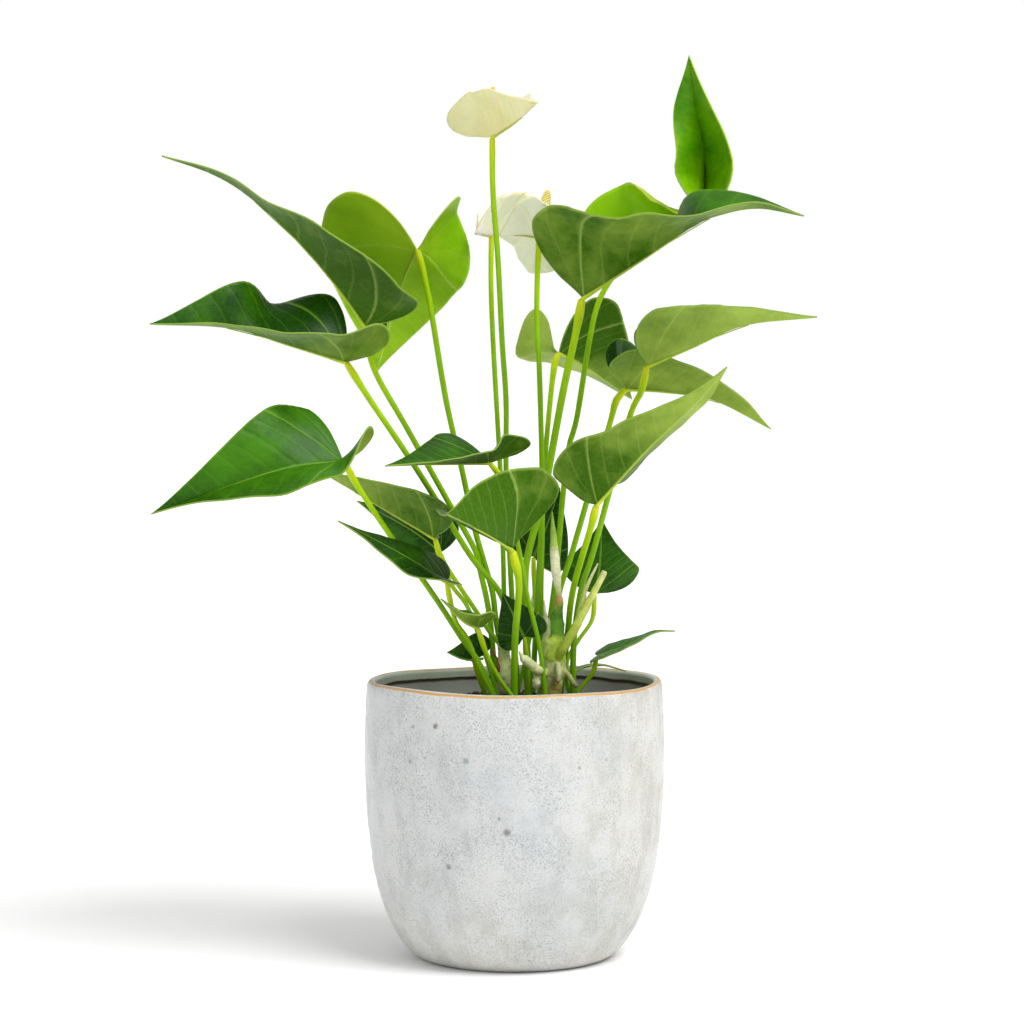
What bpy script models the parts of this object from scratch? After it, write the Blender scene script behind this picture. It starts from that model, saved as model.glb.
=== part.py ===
"""Potted anthurium: a white-flowered anthurium in a hand-made stoneware cover pot.

Run with: blender --background --python part.py, or from the text editor.
Units are metres in Blender. Sizes below are in millimetres.
The origin is the centre of the pot's base, +Z is up and the front of the plant faces -Y.

Leaves, stems and blooms are placed as the front view shows them: a place is (u, v, depth),
with u to the right and v down in the photograph's 1024 x 1024 frame, and depth in mm behind
the pot's axis. Widths, lengths of lobes, thicknesses and the pot are plain millimetres.
"""

import math

import bpy
from mathutils import Matrix, Vector, noise
from mathutils.bvhtree import BVHTree

MM = 0.001

# The eye that the front view belongs to
EYE_DISTANCE = 1540.0
EYE_HEIGHT = 312.0
EYE_ASIDE = -1.1
EYE_PITCH = math.radians(2.68)
EYE_REACH = 2859.0
VIEW_MIDDLE = 512.0

# Pot
POT_HEIGHT = 149.5
POT_WALL = 4.6
POT_FLOOR = 9.0
POT_SIDES = 40
RIM_WAVE = 0.9

# Potting mix
MIX_LEVEL = 133.0
MIX_MOUND = 5.0
HOLE_DEPTH = 13.0
CLEAR = 0.35
HOLE_ROOM = 1.2
LOWEST_VIA = 705.0

# Leaves and stems
BLADE = 0.8
SPATHE = 0.9
COLUMNS = 3
STEM_SIDES_LEVEL = 1
SEAT_GAP = 0.45
APPROACH = 4.0


def seen(u, v, depth):
    """The point in mm that the front view shows at (u, v), this far behind the pot's axis."""
    across = (u - VIEW_MIDDLE) / EYE_REACH
    rise = (VIEW_MIDDLE - v) / EYE_REACH
    forward = math.cos(EYE_PITCH) + rise * math.sin(EYE_PITCH)
    climb = rise * math.cos(EYE_PITCH) - math.sin(EYE_PITCH)
    reach = (EYE_DISTANCE + depth) / forward
    return Vector((EYE_ASIDE + across * reach, depth, EYE_HEIGHT + climb * reach))


def smooth_path(points, count):
    """Points spaced evenly along a Catmull-Rom curve through these points."""
    ends = [points[0] * 2 - points[1]] + list(points) + [points[-1] * 2 - points[-2]]
    fine = []
    for i in range(len(points) - 1):
        a, b, c, d = ends[i : i + 4]
        for step in range(12):
            t = step / 12
            fine.append(
                0.5
                * (
                    2 * b
                    + (c - a) * t
                    + (2 * a - 5 * b + 4 * c - d) * t * t
                    + (3 * b - a - 3 * c + d) * t ** 3
                )
            )
    fine.append(points[-1].copy())
    along = [0.0]
    for before, after in zip(fine, fine[1:]):
        along.append(along[-1] + (after - before).length)
    even = []
    i = 0
    for k in range(count):
        goal = along[-1] * k / (count - 1)
        while i < len(along) - 2 and along[i + 1] < goal:
            i += 1
        part = (goal - along[i]) / max(along[i + 1] - along[i], 1e-9)
        even.append(fine[i].lerp(fine[i + 1], min(1.0, part)))
    return even, along[-1]


def rounds(path, radii):
    """Points all over the wall of a stalk, in rounds of twelve."""
    points = []
    for i in range(len(path) - 1):
        ahead = path[i + 1] - path[i]
        aside = ahead.orthogonal().normalized()
        for part in (0.0, 0.25, 0.5, 0.75, 1.0):
            radius = radii[i] + (radii[i + 1] - radii[i]) * part
            for k in range(12):
                out = Matrix.Rotation(k * math.pi / 6, 3, ahead) @ aside
                points.append(path[i] + ahead * part + out * radius)
    return points


def between(stops, place):
    """The value at a place between (place, value) stops, eased from stop to stop."""
    if place <= stops[0][0]:
        return stops[0][1]
    for (a, low), (b, high) in zip(stops, stops[1:]):
        if place <= b:
            t = (place - a) / (b - a)
            return low + (high - low) * t * t * (3 - 2 * t)
    return stops[-1][1]


class Blade:
    """A heart-shaped blade that folds along its rib.

    A fold angle is the way in which a half stands off the rib. Seen from the front,
    0 is to the left of the rib's direction, 90 is away from the eye, 180 is to the right
    and -90 is towards the eye. Each half has an angle at its lobe and at four more stations.
    """

    STATIONS = (-0.12, 0.12, 0.4, 0.62, 0.9)
    ROOTS = (0.0, 0.0, 0.0, 0.0, 0.06, 0.22, 0.43, 0.64, 0.82)
    FAR = Vector((0, 1, 0))

    def __init__(self, spec, round_tip=0.0):
        self.path, self.length = smooth_path([seen(*place) for place in spec["rib"]], 33)
        self.width = spec["width"]
        self.shares = dict(zip((-1, 1), spec.get("share", (1, 1))))
        self.lobes = spec["lobe"]
        self.folds = {-1: spec["left"], 1: spec["right"]}
        self.tuck = dict(zip((-1, 1), spec.get("tuck", (0, 0))))
        self.sweep = dict(zip((-1, 1), spec.get("sweep", (0, 0))))
        self.fuller = 1 + spec.get("round_tip", round_tip)

    def outline(self, side):
        """(along, across) in mm round one half, from the notch back over the lobe to the tip."""
        back = self.lobes[(side + 1) // 2]
        full = self.width * self.shares[side]
        long = self.length
        fuller = self.fuller
        short = max(0.0, 1 - back / (0.45 * full))
        return (
            (-0.66 * back, (0.26 + 0.04 * short) * full),
            (-1.00 * back, (0.60 - 0.02 * short) * full),
            (-0.78 * back + 0.015 * long * short, (0.87 - 0.05 * short) * full),
            (0.05 * long * short, (1.00 - 0.04 * short) * full),
            (0.17 * long, (0.95 + 0.04 * short) * full),
            (0.37 * long, 0.77 * full * fuller ** 0.4),
            (0.58 * long, 0.51 * full * fuller),
            (0.77 * long, 0.26 * full * fuller),
            (0.91 * long, 0.09 * full * fuller),
        )

    def frame(self, along):
        """The rib's point, its direction, the way to its left and the way to its back at a place."""
        place = min(max(along / self.length, 0.0), 1.0) * (len(self.path) - 1)
        i = min(int(place), len(self.path) - 2)
        point = self.path[i].lerp(self.path[i + 1], place - i)
        low = max(i - 2, 0)
        high = min(i + 3, len(self.path) - 1)
        ahead = (self.path[high] - self.path[low]).normalized()
        aside = ahead.cross(self.FAR).normalized()
        return point, ahead, aside, aside.cross(ahead)

    def point(self, along, across, side):
        """A point of the blade in mm. Side is 1 on the right half, seen from above, and -1 on the left."""
        keep = max(0.0, 1 - max(0.0, along) / (0.7 * self.length))
        along += self.sweep[side] * across * keep
        place, ahead, aside, back = self.frame(along)
        angle = math.radians(between(list(zip(self.STATIONS, self.folds[side])), along / self.length))
        out = aside * math.cos(angle) + back * math.sin(angle)
        if along < 0:
            over = out.cross(ahead) * side
            tuck = math.radians(self.tuck[side])
            place = place + (ahead * math.cos(tuck) - over * math.sin(tuck)) * along
        return place + out * across

    def surface(self, columns):
        """Vertices and triangles of the blade's middle surface."""
        points = [self.path[0].copy()]
        ids = {}
        rows = len(self.ROOTS)
        for j, root in enumerate(self.ROOTS):
            if root == 0:
                ids[0, j] = 0
            else:
                ids[0, j] = len(points)
                points.append(self.frame(root * self.length)[0])
        tip = len(points)
        points.append(self.path[-1].copy())
        triangles = []
        for side in (-1, 1):
            for j, (along, across) in enumerate(self.outline(side)):
                ids[side, j, 0] = ids[0, j]
                start = self.ROOTS[j] * self.length
                for k in range(1, columns + 1):
                    part = k / columns
                    ids[side, j, k] = len(points)
                    points.append(self.point(start + (along - start) * part, across * part, side))
            for j in range(rows - 1):
                for k in range(columns):
                    a = ids[side, j, k]
                    b = ids[side, j, k + 1]
                    c = ids[side, j + 1, k + 1]
                    d = ids[side, j + 1, k]
                    for corner in ((a, b, c), (a, c, d)):
                        if len(set(corner)) == 3:
                            triangles.append(corner if side < 0 else corner[::-1])
            for k in range(columns):
                corner = (ids[side, rows - 1, k], ids[side, rows - 1, k + 1], tip)
                triangles.append(corner if side < 0 else corner[::-1])
        return points, triangles

    def under(self):
        """The way that the underside looks beside the notch."""
        place, ahead, aside, back = self.frame(0.0)
        ways = []
        for side in (-1, 1):
            angle = math.radians(self.folds[side][1])
            out = aside * math.cos(angle) + back * math.sin(angle)
            ways.append(out.cross(ahead) * side)
        return -(ways[0] + ways[1]).normalized()

    def room(self, path, radii):
        """The least distance in mm from a stalk's wall to the blade's middle surface."""
        tree = BVHTree.FromPolygons(*self.surface(COLUMNS))
        return min(tree.find_nearest(point)[3] for point in rounds(path, radii))

    def seat(self):
        """Where a stem meets the blade beside the notch, and the way that it comes in."""
        return self.path[0] - self.frame(0.0)[1] * 0.6, -self.under()


def material(name, colour, roughness, metallic=0.0):
    made = bpy.data.materials.get(name) or bpy.data.materials.new(name)
    made.use_nodes = True
    shader = made.node_tree.nodes["Principled BSDF"]
    linear = [(c / 255 / 12.92) if c <= 10 else ((c / 255 + 0.055) / 1.055) ** 2.4 for c in colour]
    shader.inputs["Base Color"].default_value = (*linear, 1.0)
    shader.inputs["Roughness"].default_value = roughness
    shader.inputs["Metallic"].default_value = metallic
    return made


def new_object(name, data, finish):
    made = bpy.data.objects.new(name, data)
    bpy.context.scene.collection.objects.link(made)
    data.materials.append(finish)
    return made


def mesh_object(name, points, faces, finish):
    """A mesh object from points in mm, shaded smooth."""
    data = bpy.data.meshes.new(name)
    data.from_pydata([tuple(p * MM) for p in points], [], faces)
    data.update()
    data.shade_smooth()
    return new_object(name, data, finish)


def blade_object(name, blade, finish, thickness=BLADE):
    points, triangles = blade.surface(COLUMNS)
    made = mesh_object(name, points, triangles, finish)
    solid = made.modifiers.new("thickness", "SOLIDIFY")
    solid.thickness = thickness * MM
    solid.offset = 0.0
    return made


def tube_object(name, path, radii, finish, level=STEM_SIDES_LEVEL):
    """A stem as a bevelled curve through points in mm, with a radius at each."""
    data = bpy.data.curves.new(name, "CURVE")
    data.dimensions = "3D"
    data.bevel_depth = MM
    data.bevel_resolution = level
    data.use_fill_caps = True
    spline = data.splines.new("POLY")
    spline.points.add(len(path) - 1)
    for point, place, radius in zip(spline.points, path, radii):
        point.co = (*(place * MM), 1.0)
        point.radius = radius
    return new_object(name, data, finish)


def solid_of(made):
    """The object's evaluated mesh, as a mesh object of the same name."""
    bpy.context.view_layer.update()
    graph = bpy.context.evaluated_depsgraph_get()
    data = bpy.data.meshes.new_from_object(made.evaluated_get(graph))
    name = made.name
    bpy.data.objects.remove(made)
    out = bpy.data.objects.new(name, data)
    bpy.context.scene.collection.objects.link(out)
    return out


def united(made, others):
    """One solid from touching shapes, with the added shapes removed."""
    helpers = bpy.data.collections.new(made.name + "_shapes")
    bpy.context.scene.collection.children.link(helpers)
    others = [solid_of(other) for other in others]
    for other in others:
        bpy.context.scene.collection.objects.unlink(other)
        helpers.objects.link(other)
    union = made.modifiers.new("union", "BOOLEAN")
    union.operation = "UNION"
    union.operand_type = "COLLECTION"
    union.collection = helpers
    union.solver = "EXACT"
    out = solid_of(made)
    for other in others:
        bpy.data.objects.remove(other)
    bpy.data.collections.remove(helpers)
    return out


class Stem:
    """A stalk from its foot in the mix, through the places where the view shows it, to its top."""

    def __init__(self, spec, blade, neck=1.3, flare=1.2):
        self.spec = spec
        self.neck = neck
        self.flare = flare
        gap = APPROACH
        for _ in range(14):
            self.lay(*blade.seat(), gap)
            gap -= blade.room(self.path[-4:], self.radii[-4:]) - SPATHE / 2 - SEAT_GAP

    def lay(self, seat, way_in, gap):
        """Lays the stalk's path, with its top this far short of the seat."""
        radius = self.spec["radius"]
        x, y = self.spec["foot"]
        _, high, depth = self.spec["rib"][0]
        top = seat - way_in * gap
        start = Vector((x, y, MIX_LEVEL - HOLE_DEPTH + 3))
        points = [start, Vector((x, y, MIX_LEVEL + 4))]
        for u, v in self.spec["via"]:
            part = min(1.0, (LOWEST_VIA - v) / (LOWEST_VIA - high))
            points.append(seen(u, v, y + (depth - y) * part ** 1.4))
        points.append(top - way_in * min(5.0, radius * 3))
        points.append(top)
        count = max(6, min(13, int((top - start).length / 24) + 4))
        self.path, _ = smooth_path(points, count)
        self.path.insert(-1, self.path[-2].lerp(self.path[-1], 0.75))
        last = len(self.path) - 1
        self.radii = [radius * (1 + (self.flare - 1) * max(0.0, 1 - 3.5 * i / last)) for i in range(last + 1)]
        self.radii[-3:] = [radius * self.neck, radius * self.neck, min(1.0, radius * 0.7)]

    def build(self, name, finish):
        return tube_object(name, self.path, self.radii, finish)

    def hole(self, name, finish):
        return hole_cutter(name, self.path[:4], self.radii[0], finish)


def hole_cutter(name, path, radius, finish):
    """The cutter of the plain hole that a stem stands in, which follows the stem's first places."""
    places = [path[0] - Vector((0, 0, 1.5))] + path
    wide = (radius + CLEAR) * HOLE_ROOM
    return tube_object(name, places, [wide] * len(places), finish)


def clear_scene():
    for made in list(bpy.data.objects):
        bpy.data.objects.remove(made)


def make_finishes():
    return {
        "glaze": material("glazed_stoneware", (214, 216, 215), 0.35),
        "mix": material("potting_mix", (66, 48, 36), 0.95),
        "leaf": material("leaf_green", (58, 108, 38), 0.42),
        "young": material("young_leaf_green", (122, 170, 52), 0.45),
        "stem": material("stem_green", (128, 172, 34), 0.45),
        "crown": material("crown_cream", (205, 208, 140), 0.6),
        "spathe": material("spathe_cream", (232, 229, 208), 0.5),
        "spadix": material("spadix_yellow", (244, 230, 138), 0.6),
    }


# Each leaf: rib places from the stem's seat to the tip, half width, how far the left and right
# lobes reach back, fold angles of each half, then the stem's foot in mm, the places that the
# stem passes from the mix up, and its radius.
LEAVES = {
    "top_back": dict(
        rib=((632, 256, 71), (668, 232, 67), (700, 199, 59), (704, 150, 45), (695, 104, 36), (689, 55, 30)),
        width=38, lobe=(16, 6), round_tip=0.5,
        left=(0, 0, -87, -48, 0), right=(268, 268, 262, 242, 232), young=True,
        foot=(14, 10),
        via=((554, 590), (558, 552), (563, 495), (569, 447), (577, 417), (590, 337), (599, 301), (614, 275)),
        radius=1.6,
    ),
    "top_right": dict(
        rib=((583, 298, -8), (634, 265, -22), (693, 226, -30), (719, 215, -32), (758, 208, -36), (804, 216, -40)),
        width=54, lobe=(6, 8),
        left=(78, 88, 88, 50, 60), right=(0, -20, -58, -84, -75), sweep=(0, 0.1),
        foot=(8, 2), via=((525, 590), (529, 550), (544, 499), (548, 474), (563, 392), (575, 337)),
        radius=2.0,
    ),
    "right_middle": dict(
        rib=((648, 366, -22), (690, 348, -30), (745, 325, -38), (817, 317, -44)), width=38, lobe=(6, 8),
        left=(40, 75, 75, 75, 75), right=(-40, -45, -50, -58, -60), tuck=(0, 90), sweep=(0, 0.55),
        foot=(32, 6), via=((574, 640), (581, 590), (592, 556), (608, 497), (630, 416), (641, 392)),
        radius=1.6,
    ),
    "right_front": dict(
        rib=((597, 505, -58), (612, 488, -61), (653, 443, -70), (694, 405, -78), (727, 367, -84)),
        width=32, lobe=(4, 10),
        left=(60, 98, 100, 105, 130), right=(0, -5, -30, -36, -42), tuck=(0, 70), sweep=(0, 0.15),
        foot=(25, 21), via=((567, 640), (573, 590), (591, 527)),
        radius=1.7,
    ),
    "right_back": dict(
        rib=((627, 389, 21), (670, 392, 17), (714, 400, 12), (771, 429, 3)), width=33, lobe=(14, 8),
        left=(25, 60, 80, 85, 85), right=(-60, -48, -50, -50, -20),
        foot=(21, 9), via=((550, 640), (560, 590), (571, 556), (587, 501), (610, 423), (616, 401)),
        radius=1.6,
    ),
    "back_middle": dict(
        rib=((559, 353, 62), (585, 366, 74), (632, 399, 92)), width=40, lobe=(28, 8),
        left=(108, 108, 105, 100, 100), right=(0, 0, 0, -15, -50),
        round_tip=0.1, tuck=(85, 0), sweep=(0, 0.3), share=(0.87, 1),
        foot=(10, 20), via=((540, 550), (544, 474), (549, 413), (554, 368)),
        radius=1.5,
    ),
    "top_left": dict(
        rib=((366, 327, 20), (343, 294, 14), (304, 247, 8), (255, 201, 4), (215, 175, 2), (162, 156, 0)),
        width=42, lobe=(4, 12),
        left=(-165, -130, -117, -99, -102), right=(110, 105, 98, 93, 95), round_tip=0.12,
        foot=(-10, 12), via=((490, 620), (480, 570), (475, 550), (450, 505), (408, 430), (374, 369)),
        radius=1.6,
    ),
    "left_middle": dict(
        rib=((345, 362, -20), (293, 346, -26), (230, 328, -34), (150, 324, -44)), width=42, lobe=(17, 3),
        left=(-142, -112, -101, -95, -95), right=(135, 140, 120, 165, 165), sweep=(0, 0.25), round_tip=0.22,
        share=(0.82, 1),
        foot=(-3, 4), via=((505, 620), (500, 593), (470, 555), (430, 490), (402, 447), (370, 400)),
        radius=1.6,
    ),
    "left_bright": dict(
        rib=((417, 250, 30), (402, 285, 52), (377, 372, 105)), width=55, lobe=(18, 30), young=True,
        left=(180, 180, 180, 180, 180), right=(75, 8, 0, 0, 0), share=(1, 0.58),
        foot=(-2, 14),
        via=((496, 620), (492, 590), (475, 530), (462, 470), (446, 400), (431, 310), (424, 275)),
        radius=1.6,
    ),
    "left_low": dict(
        rib=((343, 462, -48), (290, 468, -56), (230, 486, -64), (151, 514, -70)), width=37, lobe=(13, 3),
        left=(-125, -80, -64, -68, -80), right=(138, 145, 172, 180, 180), sweep=(0, 0.3), tuck=(0, 60),
        foot=(-9, -20), via=((480, 665), (461, 637), (430, 590), (390, 535), (360, 490)),
        radius=1.5,
    ),
    "left_under": dict(
        rib=((434, 538, -3), (383, 508, -5), (306, 463, -10)),
        width=33, lobe=(3, 3), round_tip=0.1, share=(1, 0.5),
        left=(-125, -128, -128, -124, -110), right=(95, 95, 95, 95, 95),
        foot=(-2, -7), via=((506, 657), (487, 628), (476, 611), (443, 561)),
        radius=1.3,
    ),
    "left_shade": dict(
        rib=((440, 553, 34), (410, 530, 30), (357, 501, 26)), width=24, lobe=(3, 3),
        left=(-75, -60, -50, -50, -60), right=(150, 150, 145, 140, 130), share=(0.8, 0.9),
        foot=(-8, 3), via=((480, 640), (467, 606), (451, 584)),
        radius=1.2,
    ),
    "left_small": dict(
        rib=((446, 582, -46), (400, 554, -56), (338, 521, -62)), width=20, lobe=(3, 3),
        left=(-112, -95, -66, -68, -80), right=(112, 112, 112, 110, 100),
        foot=(-9, -29), via=((480, 670), (468, 640), (456, 622), (450, 600)),
        radius=1.2,
    ),
    "centre_middle": dict(
        rib=((489, 463, -40), (437, 464, -56), (385, 466, -70)), width=28, lobe=(23, 3), share=(0.6, 1),
        left=(-158, -114, -106, -100, -100), right=(123, 123, 123, 123, 120), sweep=(0, 0.35),
        foot=(17, -21), via=((540, 650), (527, 594), (520, 555), (505, 487)),
        radius=1.3,
    ),
    "centre_front": dict(
        rib=((512, 550, -48), (486, 534, -78), (446, 514, -116)), width=45, lobe=(3, 6),
        left=(180, 163, 147, 140, 140), right=(80, 80, 80, 80, 80), sweep=(-0.1, 0),
        foot=(0, -24), via=((515, 640), (519, 585)),
        radius=1.9,
    ),
    "right_low": dict(
        rib=((595, 594, 32), (600, 565, 42), (602, 519, 58)), width=22, lobe=(3, 3),
        left=(30, 25, 10, 0, 0), right=(180, 180, 180, 180, 180), sweep=(0.7, 0.7), tuck=(80, 80),
        foot=(31, 15), via=((567, 663), (578, 641), (592, 620)),
        radius=1.1,
    ),
    "centre_small": dict(
        rib=((524, 636, -19), (512, 612, -21), (502, 592, -23)), width=14, lobe=(4, 4),
        left=(0, 0, 0, 0, 0), right=(180, 180, 180, 180, 180), tuck=(60, 60),
        foot=(8, -15), via=((528, 665),),
        radius=0.9,
    ),
    "front_small": dict(
        rib=((477, 628, -46), (462, 620, -52), (441, 599, -58)), width=15, lobe=(3, 9),
        left=(-150, -142, -132, -120, -110), right=(110, 105, 100, 100, 100),
        foot=(3, -33), via=((500, 680), (487, 655)),
        radius=1.2,
    ),
    "front_rolled": dict(
        rib=((473, 660, -10), (461, 657, -13), (447, 652, -16)), width=15, lobe=(3, 8),
        left=(-112, -100, -90, -85, -80), right=(175, 175, 170, 165, 160), share=(0.6, 1),
        foot=(-14, -3), via=((482, 685),),
        radius=1.3,
    ),
    "right_narrow": dict(
        rib=((598, 656, 0), (628, 645, -6), (654, 632, -10), (675, 631, -12)), width=11, lobe=(3, 3),
        left=(80, 75, 75, 85, 90), right=(-98, -93, -92, -95, -95),
        foot=(35, -3), via=((578, 692), (584, 684), (593, 672)),
        radius=1.1,
    ),
    "back_low": dict(
        rib=((566, 677, 30), (583, 667, 34), (602, 665, 38), (626, 671, 42)), width=11, lobe=(3, 3),
        left=(92, 92, 92, 92, 92), right=(-86, -86, -86, -86, -86),
        foot=(31, 26), via=((568, 688),),
        radius=1.0,
    ),
    "back_small": dict(
        rib=((534, 556, 42), (546, 528, 46), (560, 487, 52)), width=18, lobe=(6, 6),
        left=(0, 0, 0, 0, 0), right=(180, 180, 180, 180, 180), tuck=(60, 60),
        foot=(2, 36), via=((533, 620),),
        radius=1.1,
    ),
}

BLOOMS = {
    "tall": dict(
        rib=((493, 137, -14), (517, 121, -26), (538, 102, -38)), width=27, lobe=(14, 29),
        left=(60, 80, 65, 68, 80), right=(-10, -14, -20, -16, -5),
        round_tip=0.6, tuck=(5, 20), sweep=(0, 0.1),
        spadix=((492, 128, -9), (493, 86, -8)), spadix_radius=2.7,
        foot=(2, 23),
        via=((512, 600), (508, 520), (506, 465), (506, 400), (502, 340), (498, 260), (493, 193)),
        radius=1.5,
    ),
    "back": dict(
        rib=((491, 236, 50), (483, 235, 38), (475, 234, 26)), width=32, lobe=(20, 14),
        left=(-88, -138, -144, -156, -165), right=(160, 160, 162, 168, 175), share=(1, 0.45), tuck=(10, 20),
        spadix=((495, 226, 52), (505, 194, 53)), spadix_radius=2.4,
        foot=(-6, 23), via=((504, 600), (502, 520), (500, 465), (498, 430), (493, 340), (491, 285)),
        radius=1.4,
    ),
    "low": dict(
        rib=((538, 237, 14), (520, 235, 12), (499, 236, 11)), width=27, lobe=(8, 17),
        left=(-115, -130, -150, -145, -150), right=(44, 60, 76, 76, 70),
        spadix=((540, 231, 17), (548, 190, 30)), spadix_radius=3.3,
        foot=(16, 22), via=((541, 600), (542, 540), (542, 470), (539, 360), (537, 340), (537, 289)),
        radius=1.5,
    ),
}


def pot_radius(height):
    """The pot's outer radius in mm at a height, as the front view's outline gives it."""
    stops = (
        (0.0, 50.0),
        (2.0, 54.5),
        (8.0, 60.5),
        (20.0, 67.5),
        (40.0, 74.2),
        (64.0, 78.2),
        (90.0, 80.2),
        (118.0, 80.6),
        (136.0, 80.0),
        (POT_HEIGHT, 79.2),
    )
    return between_straight(stops, height)


def between_straight(stops, place):
    for (a, low), (b, high) in zip(stops, stops[1:]):
        if place <= b:
            return low + (high - low) * (place - a) / (b - a)
    return stops[-1][1]


def hand_made(angle, height):
    """How far the hand-made wall stands out from the turned form, in mm."""
    swell = math.sin(2 * angle + 0.6) * 0.5 + math.sin(3 * angle + 2.1) * 0.35
    return swell * min(1.0, height / 40)


def ring(radius, height, out=1.0, rise=0.0):
    """One round of points of the pot, with its slight hand-made swell."""
    points = []
    for i in range(POT_SIDES):
        angle = 2 * math.pi * i / POT_SIDES
        wide = radius + hand_made(angle, height) * out
        wave = rise * (math.sin(angle * 2 + 0.4) * 0.6 + math.sin(angle * 5 + 1.0) * 0.4)
        points.append(Vector((wide * math.cos(angle), wide * math.sin(angle), height + wave)))
    return points


def rings_object(name, rings, finish):
    """A closed body from rounds of points, with a fan over the first and the last round."""
    sides = len(rings[0])
    points = [p for one in rings for p in one]
    faces = []
    for j in range(len(rings) - 1):
        for i in range(sides):
            after = (i + 1) % sides
            low = j * sides
            faces.append((low + i, low + after, low + sides + after, low + sides + i))
    for one, turn in ((0, 1), (len(rings) - 1, -1)):
        centre = len(points)
        points.append(sum(rings[one], Vector()) / sides)
        for i in range(sides):
            low = one * sides
            corner = (low + (i + 1) % sides, low + i, centre)
            faces.append(corner[::turn])
    return mesh_object(name, points, faces, finish)


def make_pot(finish):
    heights = (0.0, 2.0, 8.0, 20.0, 40.0, 64.0, 90.0, 118.0, 136.0)
    rings = [ring(pot_radius(height), height) for height in heights]
    rings.append(ring(pot_radius(POT_HEIGHT), POT_HEIGHT - 1.6, rise=RIM_WAVE))
    rings.append(ring(pot_radius(POT_HEIGHT) - 1.4, POT_HEIGHT, rise=RIM_WAVE))
    rings.append(ring(pot_radius(POT_HEIGHT) - 3.2, POT_HEIGHT, rise=RIM_WAVE))
    rings.append(ring(pot_radius(POT_HEIGHT) - POT_WALL, POT_HEIGHT - 1.8, rise=RIM_WAVE))
    for height in (136.0, 110.0, 80.0, 50.0, 26.0):
        rings.append(ring(pot_radius(height) - POT_WALL, height))
    rings.append(ring(56.0, POT_FLOOR + 2.0))
    rings.append(ring(44.0, POT_FLOOR))
    return rings_object("pot", rings, finish)


def mix_height(x, y):
    """The mix's surface in mm: mounded round the crown and a little rough."""
    mound = MIX_MOUND * math.exp(-((x - 6) ** 2 + y ** 2) / 34 ** 2)
    rough = noise.noise(Vector((x, y, 0)) * 0.07) * 1.6
    return MIX_LEVEL + mound + rough


def make_mix(finish):
    """The mix fills the pot from its floor, 0.35 mm clear of the wall."""
    rings = [ring(43.0, POT_FLOOR + CLEAR)]
    rings.append(ring(56.0 - CLEAR - 0.6, POT_FLOOR + 2.0 + CLEAR))
    for height in (26.0, 50.0, 80.0, 110.0, 128.0):
        rings.append(ring(pot_radius(height) - POT_WALL - CLEAR - 0.25, height))
    edge = pot_radius(MIX_LEVEL) - POT_WALL - CLEAR - 0.25
    for share in (1.0, 0.86, 0.7, 0.52, 0.34, 0.16):
        top = ring(edge * share, MIX_LEVEL, out=share)
        rings.append([Vector((p.x, p.y, mix_height(p.x, p.y))) for p in top])
    return rings_object("potting_mix", rings, finish)


def make_spadix(name, bloom, blade, finish):
    """The flower spike, which stands on the spathe where the stem meets its underside."""
    low, high = [seen(*place) for place in bloom["spadix"]]
    fat = bloom["spadix_radius"]
    way = (low - high).normalized()
    low -= way * APPROACH
    for _ in range(14):
        low += way * (blade.room([low, low - way * 2], [fat * 0.3, fat * 0.6]) - SPATHE / 2 - SEAT_GAP)
    shares = (0.0, 0.1, 0.35, 0.65, 0.88, 1.0)
    path = [low.lerp(high, share) for share in shares]
    return tube_object(name, path, [fat * size for size in (0.3, 0.6, 1.0, 0.9, 0.62, 0.2)], finish, level=2)


CROWN_FOOT = (19, -4)
CROWN_RADIUS = 6.0

# Each shoot of the crown: (u, v, depth, radius) from the trunk outwards
SHOOTS = {
    "bud": (
        (557, 622, -3, 2.0), (559, 602, -3, 2.6), (559, 594, -3, 1.5),
        (556, 572, -4, 2.6), (554, 545, -4, 2.2), (552, 511, -4, 0.5),
    ),
    "stub": ((556, 660, -8, 2.4), (565, 646, -12, 2.6), (584, 611, -14, 2.2), (605, 571, -12, 1.6)),
    "sheath": ((576, 628, -13, 1.8), (581, 606, -12, 1.4), (587, 586, -11, 1.2), (598, 563, -9, 0.5)),
    "spike": ((551, 640, -3, 1.6), (546, 622, -3, 1.4), (544, 600, -2, 0.4)),
    "root_left": ((550, 666, -6, 1.9), (543, 676, -12, 1.7), (537, 684, -14, 1.2)),
    "root_right": ((560, 668, -4, 1.8), (569, 676, -6, 1.7), (577, 687, -9, 1.3)),
    "root_front": ((556, 660, -8, 1.8), (559, 672, -13, 1.7), (557, 683, -15, 1.2)),
}


def make_crown(finish):
    """The short pale crown: its knob, a sheathed bud, stubs and stout surface roots, as one solid."""
    trunk = tube_object(
        "crown",
        crown_path() + [seen(553, 668, -4), seen(553, 648, -4), seen(555, 630, -3), seen(558, 606, -3)],
        [CROWN_RADIUS, CROWN_RADIUS, 6.8, 6.8, 5.2, 2.4],
        finish,
        level=2,
    )
    shoots = []
    for name, places in SHOOTS.items():
        path = [seen(u, v, depth) for u, v, depth, _ in places]
        radii = [place[3] for place in places]
        shoots.append(tube_object(name, path, radii, finish))
    return united(solid_of(trunk), shoots)


def crown_path():
    """The crown's foot in the mix, and the point above it at the surface."""
    x, y = CROWN_FOOT
    return [Vector((x, y, MIX_LEVEL - HOLE_DEPTH + 3)), Vector((x, y, MIX_LEVEL + 5))]


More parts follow.
